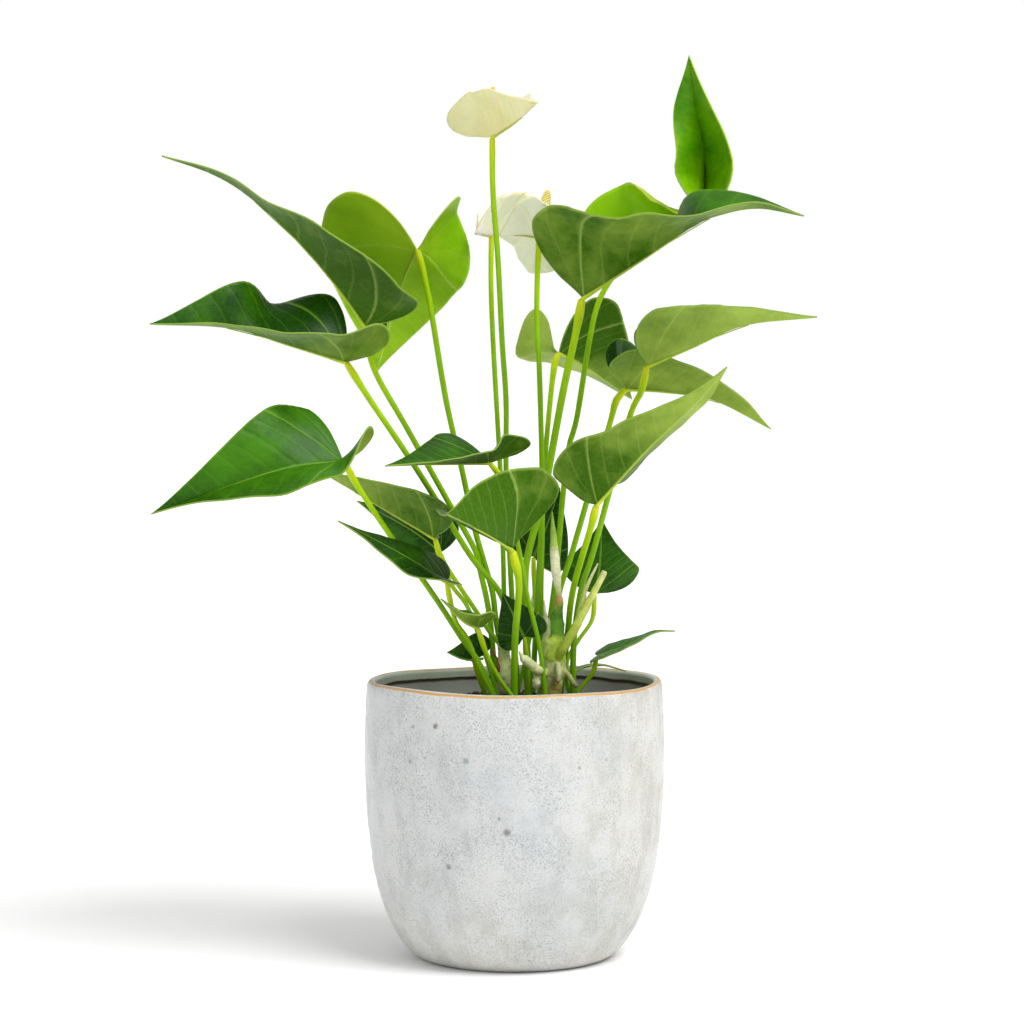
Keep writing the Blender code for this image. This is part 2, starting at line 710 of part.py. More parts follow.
def main():
    clear_scene()
    finish = make_finishes()
    make_pot(finish["glaze"])
    stems = []
    for name, leaf in LEAVES.items():
        blade = Blade(leaf)
        look = finish["young"] if leaf.get("young") else finish["leaf"]
        blade_object(f"leaf_{name}", blade, look)
        stem = Stem(leaf, blade)
        stem.build(f"petiole_{name}", finish["stem"])
        stems.append(stem)
    for name, bloom in BLOOMS.items():
        blade = Blade(bloom, round_tip=0.35)
        blade_object(f"spathe_{name}", blade, finish["spathe"], SPATHE)
        stem = Stem(bloom, blade, neck=1.1)
        stem.build(f"peduncle_{name}", finish["stem"])
        stems.append(stem)
        make_spadix(f"spadix_{name}", bloom, blade, finish["spadix"])
    make_crown(finish["crown"])
    mix = make_mix(finish["mix"])
    cutters = bpy.data.collections.new("holes")
    bpy.context.scene.collection.children.link(cutters)
    holes = [stem.hole(f"hole_{i}", finish["mix"]) for i, stem in enumerate(stems)]
    holes.append(hole_cutter("hole_crown", crown_path(), CROWN_RADIUS, finish["mix"]))
    for hole in holes:
        cutter = solid_of(hole)
        bpy.context.scene.collection.objects.unlink(cutter)
        cutters.objects.link(cutter)
    cut = mix.modifiers.new("holes", "BOOLEAN")
    cut.operation = "DIFFERENCE"
    cut.operand_type = "COLLECTION"
    cut.collection = cutters
    cut.solver = "EXACT"
    solid_of(mix)
    for cutter in list(cutters.objects):
        bpy.data.objects.remove(cutter)
    bpy.data.collections.remove(cutters)


main()
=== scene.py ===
"""Potted anthurium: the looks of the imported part.

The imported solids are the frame. Every piece here is made in mm, in the same place as the solid
that it replaces, and is then written in metres. Leaves, stalks and blooms are placed as in the
part's source: a place is (u, v, depth), with u to the right and v down in the photograph's
1024 x 1024 frame, and depth in mm behind the pot's axis. Everything else is plain millimetres.
"""

import math

import bpy
from mathutils import Matrix, Vector, noise
from mathutils.bvhtree import BVHTree
from mathutils.kdtree import KDTree


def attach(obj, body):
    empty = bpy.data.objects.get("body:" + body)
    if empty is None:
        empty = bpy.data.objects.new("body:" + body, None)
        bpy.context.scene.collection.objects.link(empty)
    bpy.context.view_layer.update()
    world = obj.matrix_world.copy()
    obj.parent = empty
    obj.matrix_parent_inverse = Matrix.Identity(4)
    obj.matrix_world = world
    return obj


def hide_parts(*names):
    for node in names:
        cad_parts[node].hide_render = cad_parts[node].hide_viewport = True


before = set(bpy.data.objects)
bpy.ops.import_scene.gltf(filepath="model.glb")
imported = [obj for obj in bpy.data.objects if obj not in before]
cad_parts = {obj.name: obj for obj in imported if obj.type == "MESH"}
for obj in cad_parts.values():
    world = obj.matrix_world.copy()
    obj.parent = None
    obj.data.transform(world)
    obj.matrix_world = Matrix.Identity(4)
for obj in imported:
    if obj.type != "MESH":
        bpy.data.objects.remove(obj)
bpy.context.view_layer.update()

MM = 0.001

# The photograph's eye
EYE_DISTANCE = 1540.0
EYE_HEIGHT = 312.0
EYE_ASIDE = -1.1
EYE_PITCH = math.radians(2.68)
EYE_REACH = 2859.0
VIEW_MIDDLE = 512.0
FRAME_SIZE = 1024
SENSOR = 36.0

# Pot
POT_HEIGHT = 149.5
POT_WALL = 4.6
POT_FLOOR = 9.0
POT_SIDES = 224
RIM_WAVE = 0.9
RING_PITCH = 7.5
RING_DEPTH = 0.09
DENT = 0.28
DENT_PLACE = 3.2
WALL_ROUNDS = 64
WALL_CROWDING = 1.15
RIM_DROP = 2.2
RIM_ROUNDS = 11
WAVE_FROM = 128.0
WAVE_OVER = 18.0
POT_STEPS = 10
SWELL_OVER = 40
MARK_DEPTH = 80.0
MARK_STEPS = 5

# The pot's outer wall: (height, radius) in mm
POT_OUTLINE = (
    (0.0, 50.0), (2.0, 54.5), (8.0, 60.5), (20.0, 67.5), (40.0, 74.2), (64.0, 78.2), (90.0, 80.2),
    (118.0, 80.6), (136.0, 80.0), (POT_HEIGHT, 79.2),
)

# Its underside, which is turned out by 0.9 mm inside a foot ring, and its inner floor: (radius, height)
POT_UNDERSIDE = ((12.0, 0.9), (30.0, 0.9), (44.0, 0.8), (47.0, 0.1), (50.0, 0.0))
POT_INSIDE = ((56.0, POT_FLOOR + 2.0), (44.0, POT_FLOOR), (15.0, POT_FLOOR))

# The heights of its inner wall's rounds
INNER_ROUNDS = (143.0, 139.0, 136.0, 128.0, 110.0, 80.0, 50.0, 26.0)

# Dark spots in the glaze, as the front view shows them: (u, v, radius in mm, colour)
BURNT_MARKS = (
    (436, 726, 1.5, "6E655C"),
    (414, 727, 1.2, "8B8F90"),
    (531, 741, 0.8, "8A6420"),
    (507, 833, 1.8, "77797B"),
    (449, 867, 1.4, "857F76"),
    (499, 819, 1.0, "86898B"),
    (580, 768, 1.1, "8E8A80"),
    (411, 761, 1.3, "8C9192"),
    (466, 761, 1.6, "8E979B"),
    (607, 760, 0.9, "938E84"),
)

# Potting mix
MIX_LEVEL = 133.0
MIX_MOUND = 5.0
MOUND_ASIDE = 6
MOUND_REACH = 34
MIX_SIDES = 160
HOLE_DEPTH = 13.0
LOWEST_VIA = 705.0
BARK_PIECES = 420
BARK_SMALLEST = 1.2
BARK_LARGEST = 4.6
BARK_SEED = 4
TOP_LAYER = 3.0
MIX_ROUNDS = 46
MIX_GAP = 0.3
MIX_UNDERSIDE = ((43.0, POT_FLOOR + 0.4), (55.0, POT_FLOOR + 2.4))
MIX_RISES = (26.0, 50.0, 80.0, 110.0, 128.0)

# Leaves and stalks
BLADE = 0.8
SPATHE = 0.9
EDGE_STEPS = 7
COLUMNS = 16
COARSE_COLUMNS = 3
SIDE_VEINS = 8.0
VEIN_SHIFT = 0.8
VEIN_CLIMB = 0.55
VEIN_CURVE = 0.11
VEIN_FAN = math.radians(24)
ARCH = 0.035
RIPPLE = 0.7
RIPPLE_FULL_LENGTH = 110.0
BEND = 5.0
RIB_STEPS = 33
SPATHE_ROUND_TIP = 0.35
STALK_SIDES = 12
STALK_STEPS = 56
STALK_CURVE = 1.4
LAY_STRETCH = 24
LAY_LEAST = 6
LAY_MOST = 13
STALK_STRAIGHT = 5.0
FLARE_SHARE = 0.28
NECK_PLACE = 7.0
NECK_LENGTH = 6.0
SEAT_GAP = 0.45
SEAT_BACK = 0.6
APPROACH = 4.0
RIB_SHARE = 0.62
NECK_SHORT = 0.7
RIB_ROOT = 0.62
RIB_RADIUS = 0.55
RIB_END = 0.25
RIB_DEPTH = 0.4
SEAT_TRIES = 14

# The waves of a blade's edge: radians from lobe to tip, and how far a half is shifted
RIPPLES = ((13.0, 1.7), (29.0, 1.0))

# The round top of a stalk: its radii and the step between them, as shares of the stalk's radius
CAP = (0.93, 0.72, 0.4)
CAP_STEP = 0.22

# The raised rib under a blade: the shares of the blade's length that it passes
RIB_SHARES = (-0.02, 0.0, 0.03, 0.07, 0.12, 0.2, 0.3, 0.42, RIB_SHARE)

# How much paler (+) or darker (-) a leaf is than its kind: its left half, its right half and its tip.
# This is partly the leaf's own colour and partly painted light and shade: halves lit through from behind
# are painted paler, halves in shade darker, and spathes that sit in shade paler.
# A half has its full tone a sixth of the way out. The tip's tone comes in from 0.15 to 0.75 of the length.
NO_TONE = (0.0, 0.0, 0.0)
TONE_BLEND = 6.0
TIP_TONE_FROM = 0.15
TIP_TONE_TO = 0.75
TONES_WITH_PAINTED_LIGHT = {
    "top_back": (1.0, 0.15, 0.0),
    "top_right": (0.0, -0.05, 0.15),
    "right_middle": (0.6, 0.35, 0.6),
    "right_front": (-0.2, -0.05, 0.6),
    "right_back": (-0.3, 0.2, 0.6),
    "back_middle": (0.6, -0.45, 0.35),
    "top_left": (-0.35, -0.4, -0.2),
    "left_middle": (-0.05, -0.4, 0.0),
    "left_bright": (0.55, -0.15, 0.1),
    "left_under": (-0.2, -0.1, 0.3),
    "left_low": (0.35, 0.25, 0.1),
    "left_shade": (-0.4, -0.4, -0.3),
    "left_small": (-0.3, -0.2, -0.3),
    "centre_middle": (-0.35, -0.15, 0.0),
    "centre_front": (-0.35, -0.2, -0.3),
    "centre_small": (-0.4, -0.4, -0.3),
    "front_small": (0.1, 0.2, 0.1),
    "front_rolled": (-0.2, -0.3, -0.2),
    "back_small": (-0.3, -0.3, -0.3),
    "tall": (-0.1, -0.1, -0.1),
    "low": (0.9, 0.9, 0.9),
    "back": (0.9, 0.9, 0.9),
}

# Light
SOFT_LIGHT = 0.7
KEY_LIGHT = 2.15
SUN_WIDTH = math.radians(34)
SUN_PLACE = (1.0, -0.85, 1.85)
FLOOR_REACH = 30.0

# Spadix
FLORETS = 260
SPADIX_SIDES = 20
SPADIX_SINK = 0.6
FLORET_RING = 0.88
BLUNT_END = 0.12
GOLDEN_ANGLE = math.radians(137.508)

# The spadix under its florets: (share of its length, share of its radius)
SPADIX_CORE = ((0.0, 0.3), (0.06, 0.55), (0.35, 0.86), (0.65, 0.78), (0.88, 0.52), (0.97, 0.28), (1.0, 0.1))

# Crown
CROWN_SIDES = 16
CROWN_STEPS = 8
CROWN_VOXEL = 0.55
LEAST_RADIUS = 0.35
FRESH_SHOOTS = ("bud", "spike", "sheath", "stub")
FRESH_LUMPS = 0.25


def hexed(text):
    """An sRGB hex colour as linear RGBA."""
    channels = [int(text[i : i + 2], 16) / 255 for i in (0, 2, 4)]
    return (*[c / 12.92 if c <= 0.04045 else ((c + 0.055) / 1.055) ** 2.4 for c in channels], 1.0)


def add(tree, kind, inputs=(), stops=None, **settings):
    """Adds a node with its settings, and fills its inputs from values, nodes or sockets.

    Inputs go by name, or as a tuple in the order of the sockets in use: a Map Range takes its
    value, From Min, From Max, To Min and To Max, and a Mix its factor, A and B.
    """
    node = tree.nodes.new(kind)
    for name, value in settings.items():
        setattr(node, name, value)
    if stops:
        marks = node.color_ramp.elements
        for mark, (place, colour) in ((marks[0], stops[0]), (marks[1], stops[-1])):
            mark.position = place
            mark.color = hexed(colour)
        for place, colour in stops[1:-1]:
            marks.new(place).color = hexed(colour)
    sockets = [socket for socket in node.inputs if socket.enabled]
    if isinstance(inputs, dict):
        sockets = [next(socket for socket in sockets if socket.name == name) for name in inputs]
        inputs = inputs.values()
    for socket, value in zip(sockets, inputs):
        if isinstance(value, bpy.types.Node):
            value = next(found for found in value.outputs if found.enabled)
        if isinstance(value, bpy.types.NodeSocket):
            tree.links.new(value, socket)
        else:
            socket.default_value = value
    return node


def seen(u, v, depth):
    """The point in mm that the front view shows at (u, v), this far behind the pot's axis."""
    across = (u - VIEW_MIDDLE) / EYE_REACH
    rise = (VIEW_MIDDLE - v) / EYE_REACH
    forward = math.cos(EYE_PITCH) + rise * math.sin(EYE_PITCH)
    climb = rise * math.cos(EYE_PITCH) - math.sin(EYE_PITCH)
    reach = (EYE_DISTANCE + depth) / forward
    return Vector((EYE_ASIDE + across * reach, depth, EYE_HEIGHT + climb * reach))


def through(points, steps, before=None):
    """Points on a Catmull-Rom curve, this many for each stretch between the given points."""
    ends = [before or points[0] * 2 - points[1]] + list(points) + [points[-1] * 2 - points[-2]]
    fine = []
    for i in range(len(points) - 1):
        a, b, c, d = ends[i : i + 4]
        for step in range(steps):
            t = step / steps
            first = (c - a) * t
            second = (2 * a - 5 * b + 4 * c - d) * t * t
            third = (3 * b - a - 3 * c + d) * t ** 3
            fine.append(0.5 * (2 * b + first + second + third))
    fine.append(points[-1].copy())
    return fine


def smooth_path(points, count):
    """Points spaced evenly along a Catmull-Rom curve through these points, and its length."""
    fine = through(points, 12)
    along = [0.0]
    for before, after in zip(fine, fine[1:]):
        along.append(along[-1] + (after - before).length)
    even = []
    i = 0
    for k in range(count):
        goal = along[-1] * k / (count - 1)
        while i < len(along) - 2 and along[i + 1] < goal:
            i += 1
        part = (goal - along[i]) / max(along[i + 1] - along[i], 1e-9)
        even.append(fine[i].lerp(fine[i + 1], min(1.0, part)))
    return even, along[-1]


def between(stops, place, ease=True):
    """The value at a place between (place, value) stops, eased from stop to stop or straight."""
    if place <= stops[0][0]:
        return stops[0][1]
    for (a, low), (b, high) in zip(stops, stops[1:]):
        if place <= b:
            t = (place - a) / (b - a)
            return low + (high - low) * (t * t * (3 - 2 * t) if ease else t)
    return stops[-1][1]


def rounds(path, radii):
    """Points all over the wall of a stalk, in rounds of twelve."""
    points = []
    for i in range(len(path) - 1):
        ahead = path[i + 1] - path[i]
        aside = ahead.orthogonal().normalized()
        for part in (0.0, 0.25, 0.5, 0.75, 1.0):
            radius = radii[i] + (radii[i + 1] - radii[i]) * part
            for k in range(12):
                out = Matrix.Rotation(k * math.pi / 6, 3, ahead) @ aside
                points.append(path[i] + ahead * part + out * radius)
    return points


def new_object(name, data, finishes):
    """An object of this mesh in the scene, with its finishes."""
    made = bpy.data.objects.new(name, data)
    bpy.context.scene.collection.objects.link(made)
    for finish in finishes:
        data.materials.append(finish)
    return made


def mesh_object(name, points, faces, finishes, maps=None):
    """A smooth mesh object from points in mm, with UV maps given corner by corner."""
    data = bpy.data.meshes.new(name)
    data.from_pydata([tuple(p * MM) for p in points], [], faces)
    for title, corners in (maps or {}).items():
        layer = data.uv_layers.new(name=title)
        layer.data.foreach_set("uv", [value for corner in corners for value in corner])
    data.update()
    data.shade_smooth()
    return new_object(name, data, finishes)


def solid_of(made):
    """The object with its modifiers made real, as a plain mesh object of the same name."""
    bpy.context.view_layer.update()
    graph = bpy.context.evaluated_depsgraph_get()
    data = bpy.data.meshes.new_from_object(made.evaluated_get(graph))
    name = made.name
    bpy.data.objects.remove(made)
    data.name = name
    data.shade_smooth()
    out = bpy.data.objects.new(name, data)
    bpy.context.scene.collection.objects.link(out)
    return out


def share_out(made, name, values):
    """Gives each point of a piece its own number, which its material reads by this name."""
    layer = made.data.attributes.new(name, "FLOAT", "POINT")
    layer.data.foreach_set("value", values)


def stand_in(made, node):
    """The piece takes the place of a solid and its finish."""
    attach(made, "root")
    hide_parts(node)


class Blade:
    """A heart-shaped blade that folds along its rib, as in the part's source but finer.

    A fold angle is the way in which a half stands off the rib. Seen from the front,
    0 is to the left of the rib's direction, 90 is away from the eye, 180 is to the right
    and -90 is towards the eye. Each half has an angle at its lobe and at four more stations.
    """

    STATIONS = (-0.12, 0.12, 0.4, 0.62, 0.9)
    ROOTS = (0.0, 0.0, 0.0, 0.0, 0.06, 0.22, 0.43, 0.64, 0.82)
    FAR = Vector((0, 1, 0))

    def __init__(self, spec, round_tip=0.0):
        self.path, self.length = smooth_path([seen(*place) for place in spec["rib"]], RIB_STEPS)
        self.width = spec["width"]
        self.shares = dict(zip((-1, 1), spec.get("share", (1, 1))))
        self.lobes = spec["lobe"]
        self.folds = {-1: spec["left"], 1: spec["right"]}
        self.tuck = dict(zip((-1, 1), spec.get("tuck", (0, 0))))
        self.sweep = dict(zip((-1, 1), spec.get("sweep", (0, 0))))
        self.fuller = 1 + spec.get("round_tip", round_tip)

    def outline(self, side):
        """(along, across) in mm round one half, from the notch back over the lobe to the tip."""
        back = self.lobes[(side + 1) // 2]
        full = self.width * self.shares[side]
        long = self.length
        fuller = self.fuller
        short = max(0.0, 1 - back / (0.45 * full))
        return (
            (-0.66 * back, (0.26 + 0.04 * short) * full),
            (-1.00 * back, (0.60 - 0.02 * short) * full),
            (-0.78 * back + 0.015 * long * short, (0.87 - 0.05 * short) * full),
            (0.05 * long * short, (1.00 - 0.04 * short) * full),
            (0.17 * long, (0.95 + 0.04 * short) * full),
            (0.37 * long, 0.77 * full * fuller ** 0.4),
            (0.58 * long, 0.51 * full * fuller),
            (0.77 * long, 0.26 * full * fuller),
            (0.91 * long, 0.09 * full * fuller),
        )

    def edge(self, side):
        """The outline drawn finely: (along, across, where its row leaves the rib) in mm."""
        marks = [Vector((*mark, root * self.length)) for mark, root in zip(self.outline(side), self.ROOTS)]
        marks.append(Vector((self.length, 0, self.length)))
        return through(marks, EDGE_STEPS, before=Vector((0, 0, 0)))

    def frame(self, along):
        """The rib's point, its direction, the way to its left and the way to its back at a place."""
        place = min(max(along / self.length, 0.0), 1.0) * (len(self.path) - 1)
        i = min(int(place), len(self.path) - 2)
        point = self.path[i].lerp(self.path[i + 1], place - i)
        low = max(i - 2, 0)
        high = min(i + 3, len(self.path) - 1)
        ahead = (self.path[high] - self.path[low]).normalized()
        aside = ahead.cross(self.FAR).normalized()
        return point, ahead, aside, aside.cross(ahead)

    def point(self, along, across, side, bulge=0.0):
        """A point of the blade in mm. Side is 1 on the right half, seen from above, and -1 on the left."""
        keep = max(0.0, 1 - max(0.0, along) / (0.7 * self.length))
        along += self.sweep[side] * across * keep
        place, ahead, aside, back = self.frame(along)
        angle = math.radians(between(list(zip(self.STATIONS, self.folds[side])), along / self.length))
        out = aside * math.cos(angle) + back * math.sin(angle)
        over = out.cross(ahead) * side
        if along < 0:
            turn = math.radians(self.tuck[side])
            bent = min(-along, BEND)
            rest = -along - bent
            part = max(turn * bent / BEND, 1e-6)
            level = bent * math.sin(part) / part + rest * math.cos(turn)
            drop = bent * (1 - math.cos(part)) / part + rest * math.sin(turn)
            place = place - ahead * level + over * drop
        return place + out * across + over * bulge

    def coarse(self):
        """The part's own coarse middle surface, as points and triangles, to seat a stalk against."""
        points = [self.path[0].copy()]
        rows = []
        for side in (-1, 1):
            rows.append([])
            for (along, across), root in zip(self.outline(side), self.ROOTS):
                start = root * self.length
                row = [len(points)]
                points.append(self.frame(start)[0])
                for k in range(1, COARSE_COLUMNS + 1):
                    part = k / COARSE_COLUMNS
                    row.append(len(points))
                    points.append(self.point(start + (along - start) * part, across * part, side))
                rows[-1].append(row)
        faces = []
        for half in rows:
            for low, high in zip(half, half[1:]):
                for k in range(COARSE_COLUMNS):
                    faces.append((low[k], low[k + 1], high[k + 1], high[k]))
        return points, faces

    def vein(self, along, across, side):
        """The number of the side vein at a point: whole on a vein, and half-way between two."""
        wide = across / self.width
        climb = VEIN_CLIMB * across + VEIN_CURVE * self.length * wide ** 2.5
        start = along - climb
        if start >= 0:
            return start / self.length * (SIDE_VEINS if side > 0 else SIDE_VEINS - VEIN_SHIFT)
        fan = math.atan2(climb, max(across, 1e-6)) - math.atan2(along, max(across, 1e-6))
        return -fan / VEIN_FAN

    def surface(self):
        """Points, faces, two UV maps and (side, share) marks of the middle surface, drawn finely."""
        points = [self.path[0].copy()]
        places = [(0, 0.0)]
        edges = {side: self.edge(side) for side in (-1, 1)}
        rows = len(edges[1]) - 1
        ids = {}
        marks = {}
        for j in range(rows):
            root = max(0.0, edges[1][j].z)
            if root > 1e-6:
                ids[0, j] = len(points)
                points.append(self.frame(root)[0])
                places.append((0, root / self.length))
            else:
                ids[0, j] = 0
        tip = len(points)
        points.append(self.path[-1].copy())
        places.append((0, 1.0))
        faces = []
        veins = []
        spread = []

        def keep(corner, look, side):
            """Keeps a face and its look. Where the rib's own points meet, the face has fewer corners."""
            if len(set(corner)) < len(corner):
                kept = [k for k in range(4) if corner[k] not in corner[:k]]
                corner = [corner[k] for k in kept]
                look = [look[k] for k in kept]
            known = [mark[0] for spot, mark in zip(corner, look) if spot != 0]
            middle = sum(known) / len(known)
            look = [mark if spot else (middle, *mark[1:]) for spot, mark in zip(corner, look)]
            if side < 0:
                corner = corner[::-1]
                look = look[::-1]
            faces.append(tuple(corner))
            veins.extend((mark[0], mark[1]) for mark in look)
            spread.extend((mark[2], mark[3]) for mark in look)

        for side in (-1, 1):
            reach = max(mark.y for mark in edges[side])
            ripple = RIPPLE * min(1.0, self.length / RIPPLE_FULL_LENGTH)
            for j in range(rows):
                along, across, start = edges[side][j]
                start = max(0.0, start)
                far = along / self.length
                ids[side, j, 0] = ids[0, j]
                marks[side, j, 0] = (self.vein(start, 0, side), start / self.length, 0, 0)
                for k in range(1, COLUMNS + 1):
                    part = k / COLUMNS
                    here = start + (along - start) * part
                    wide = across * part
                    arch = 4 * part * (1 - part) * across * ARCH
                    wave = sum(math.sin(far * turns + side * shift) for turns, shift in RIPPLES)
                    bulge = arch + ripple * wave * 0.5 * part ** 3 * across / reach
                    ids[side, j, k] = len(points)
                    points.append(self.point(here, wide, side, bulge))
                    places.append((side * min(1.0, part * TONE_BLEND), here / self.length))
                    marks[side, j, k] = (self.vein(here, wide, side), here / self.length, wide / 100, part)
            for j in range(rows - 1):
                for k in range(COLUMNS):
                    spots = ((side, j, k), (side, j, k + 1), (side, j + 1, k + 1), (side, j + 1, k))
                    keep([ids[spot] for spot in spots], [marks[spot] for spot in spots], side)
            for k in range(COLUMNS):
                spots = ((side, rows - 1, k), (side, rows - 1, k + 1))
                end = (marks[side, rows - 1, 0][0], 1.0, 0, k / COLUMNS)
                keep([ids[spot] for spot in spots] + [tip], [marks[spot] for spot in spots] + [end], side)
        return points, faces, {"veins": veins, "spread": spread}, places

    def above(self, along):
        """The way that the upper face looks at a place on the rib."""
        _, ahead, aside, back = self.frame(along)
        station = max(along / self.length, self.STATIONS[1])
        ways = []
        for side in (-1, 1):
            angle = math.radians(between(list(zip(self.STATIONS, self.folds[side])), station))
            out = aside * math.cos(angle) + back * math.sin(angle)
            ways.append(out.cross(ahead) * side)
        return (ways[0] + ways[1]).normalized()

    def room(self, tree, path, radii):
        """The least distance in mm from a stalk's wall to the blade's middle surface."""
        return min(tree.find_nearest(point)[3] for point in rounds(path, radii))

    def seat(self):
        """Where a stalk meets the blade beside the notch, and the way that it comes in."""
        return self.path[0] - self.frame(0.0)[1] * SEAT_BACK, self.above(0.0)


def blade_object(name, blade, finishes, tone, thickness=BLADE):
    """A blade with its upper face, underside and cut edge in three finishes, and its tones, which are
    partly painted light and shade.
    """
    points, faces, maps, places = blade.surface()
    made = mesh_object(name, points, faces, finishes, maps)
    left, right, tip = tone
    tones = []
    for side, share in places:
        low = (left + right) / 2 + (right - left) / 2 * side
        tones.append(between(((TIP_TONE_FROM, low), (TIP_TONE_TO, tip)), share))
    share_out(made, "tone", tones)
    solid = made.modifiers.new("thickness", "SOLIDIFY")
    solid.thickness = thickness * MM
    solid.offset = 0.0
    solid.material_offset = 1
    solid.material_offset_rim = 2
    return solid_of(made)


def tube(path, radii, sides):
    """Points and faces of a closed round stalk through points in mm, and each point's place along it."""
    points = []
    places = []
    faces = []
    along = 0.0
    aside = (path[1] - path[0]).orthogonal().normalized()
    for i, (spot, radius) in enumerate(zip(path, radii)):
        ahead = (path[min(i + 1, len(path) - 1)] - path[max(i - 1, 0)]).normalized()
        aside = (aside - ahead * aside.dot(ahead)).normalized()
        over = ahead.cross(aside)
        if i:
            along += (spot - path[i - 1]).length
        for k in range(sides):
            angle = 2 * math.pi * k / sides
            points.append(spot + (aside * math.cos(angle) + over * math.sin(angle)) * radius)
            places.append(along)
    for i in range(len(path) - 1):
        for k in range(sides):
            after = (k + 1) % sides
            low = i * sides
            faces.append((low + k, low + after, low + sides + after, low + sides + k))
    faces.append(tuple(range(sides))[::-1])
    last = (len(path) - 1) * sides
    faces.append(tuple(last + k for k in range(sides)))
    return points, faces, places


class Stalk:
    """A stalk from its foot in the mix to its blade, which runs on as the rib of the underside."""

    def __init__(self, spec, blade, neck=1.3, flare=1.2):
        self.spec = spec
        self.blade = blade
        self.neck = neck
        self.flare = flare
        tree = BVHTree.FromPolygons(*blade.coarse())
        gap = APPROACH
        for _ in range(SEAT_TRIES):
            self.lay(*blade.seat(), gap)
            gap -= blade.room(tree, self.path[-4:], self.radii[-4:]) - SPATHE / 2 - SEAT_GAP

    def lay(self, seat, way_in, gap):
        """Lays the solid's own path, with its top this far short of the seat."""
        radius = self.spec["radius"]
        x, y = self.spec["foot"]
        _, high, depth = self.spec["rib"][0]
        top = seat - way_in * gap
        start = Vector((x, y, MIX_LEVEL - HOLE_DEPTH + 3))
        points = [start, Vector((x, y, MIX_LEVEL + 4))]
        for u, v in self.spec["via"]:
            part = min(1.0, (LOWEST_VIA - v) / (LOWEST_VIA - high))
            points.append(seen(u, v, y + (depth - y) * part ** STALK_CURVE))
        points.append(top - way_in * min(STALK_STRAIGHT, radius * 3))
        points.append(top)
        self.points = points
        count = int((top - start).length / LAY_STRETCH) + 4
        self.path, _ = smooth_path(points, max(LAY_LEAST, min(LAY_MOST, count)))
        self.path.insert(-1, self.path[-2].lerp(self.path[-1], 0.75))
        self.radii = [radius * self.neck] * (len(self.path) - 1) + [min(1.0, radius * 0.7)]

    def build(self, name, finish):
        """The stalk with its swollen foot and neck, and the raised rib that runs on from it."""
        blade = self.blade
        radius = self.spec["radius"]
        seat, _ = blade.seat()
        way = (seat - self.points[-3]).normalized()
        points = self.points[:-2] + [seat - way * radius * NECK_SHORT]
        path, length = smooth_path(points, STALK_STEPS)
        radii = []
        for i in range(len(path)):
            low = length * i / (len(path) - 1)
            high = length - low
            wide = radius * (1 + (self.flare - 1) * max(0.0, 1 - low / (FLARE_SHARE * length)))
            swell = (self.neck - 1) * math.exp(-(((high - NECK_PLACE) / NECK_LENGTH) ** 2))
            radii.append(wide * (1 + swell))
        for wide in CAP:
            path.append(path[-1] + (path[-1] - path[-2]).normalized() * radius * CAP_STEP)
            radii.append(radius * wide)
        rib = []
        rib_radii = []
        thin = ((0, radius * RIB_ROOT), (0.14, RIB_RADIUS), (RIB_SHARE, RIB_END))
        for share in RIB_SHARES:
            along = share * blade.length
            rib.append(blade.frame(along)[0] - blade.above(along) * RIB_DEPTH)
            rib_radii.append(between(thin, share))
        rib[0] = rib[0] - (rib[2] - rib[1]).normalized() * radius * 0.4
        points, faces, places = tube(path, radii, STALK_SIDES)
        more, others, further = tube(rib, rib_radii, STALK_SIDES)
        faces += [tuple(len(points) + k for k in face) for face in others]
        points += more
        places += [length + place for place in further]
        corners = [((length - places[k]) / 100, places[k] / 100) for face in faces for k in face]
        return mesh_object(name, points, faces, [finish], {"stalk": corners})


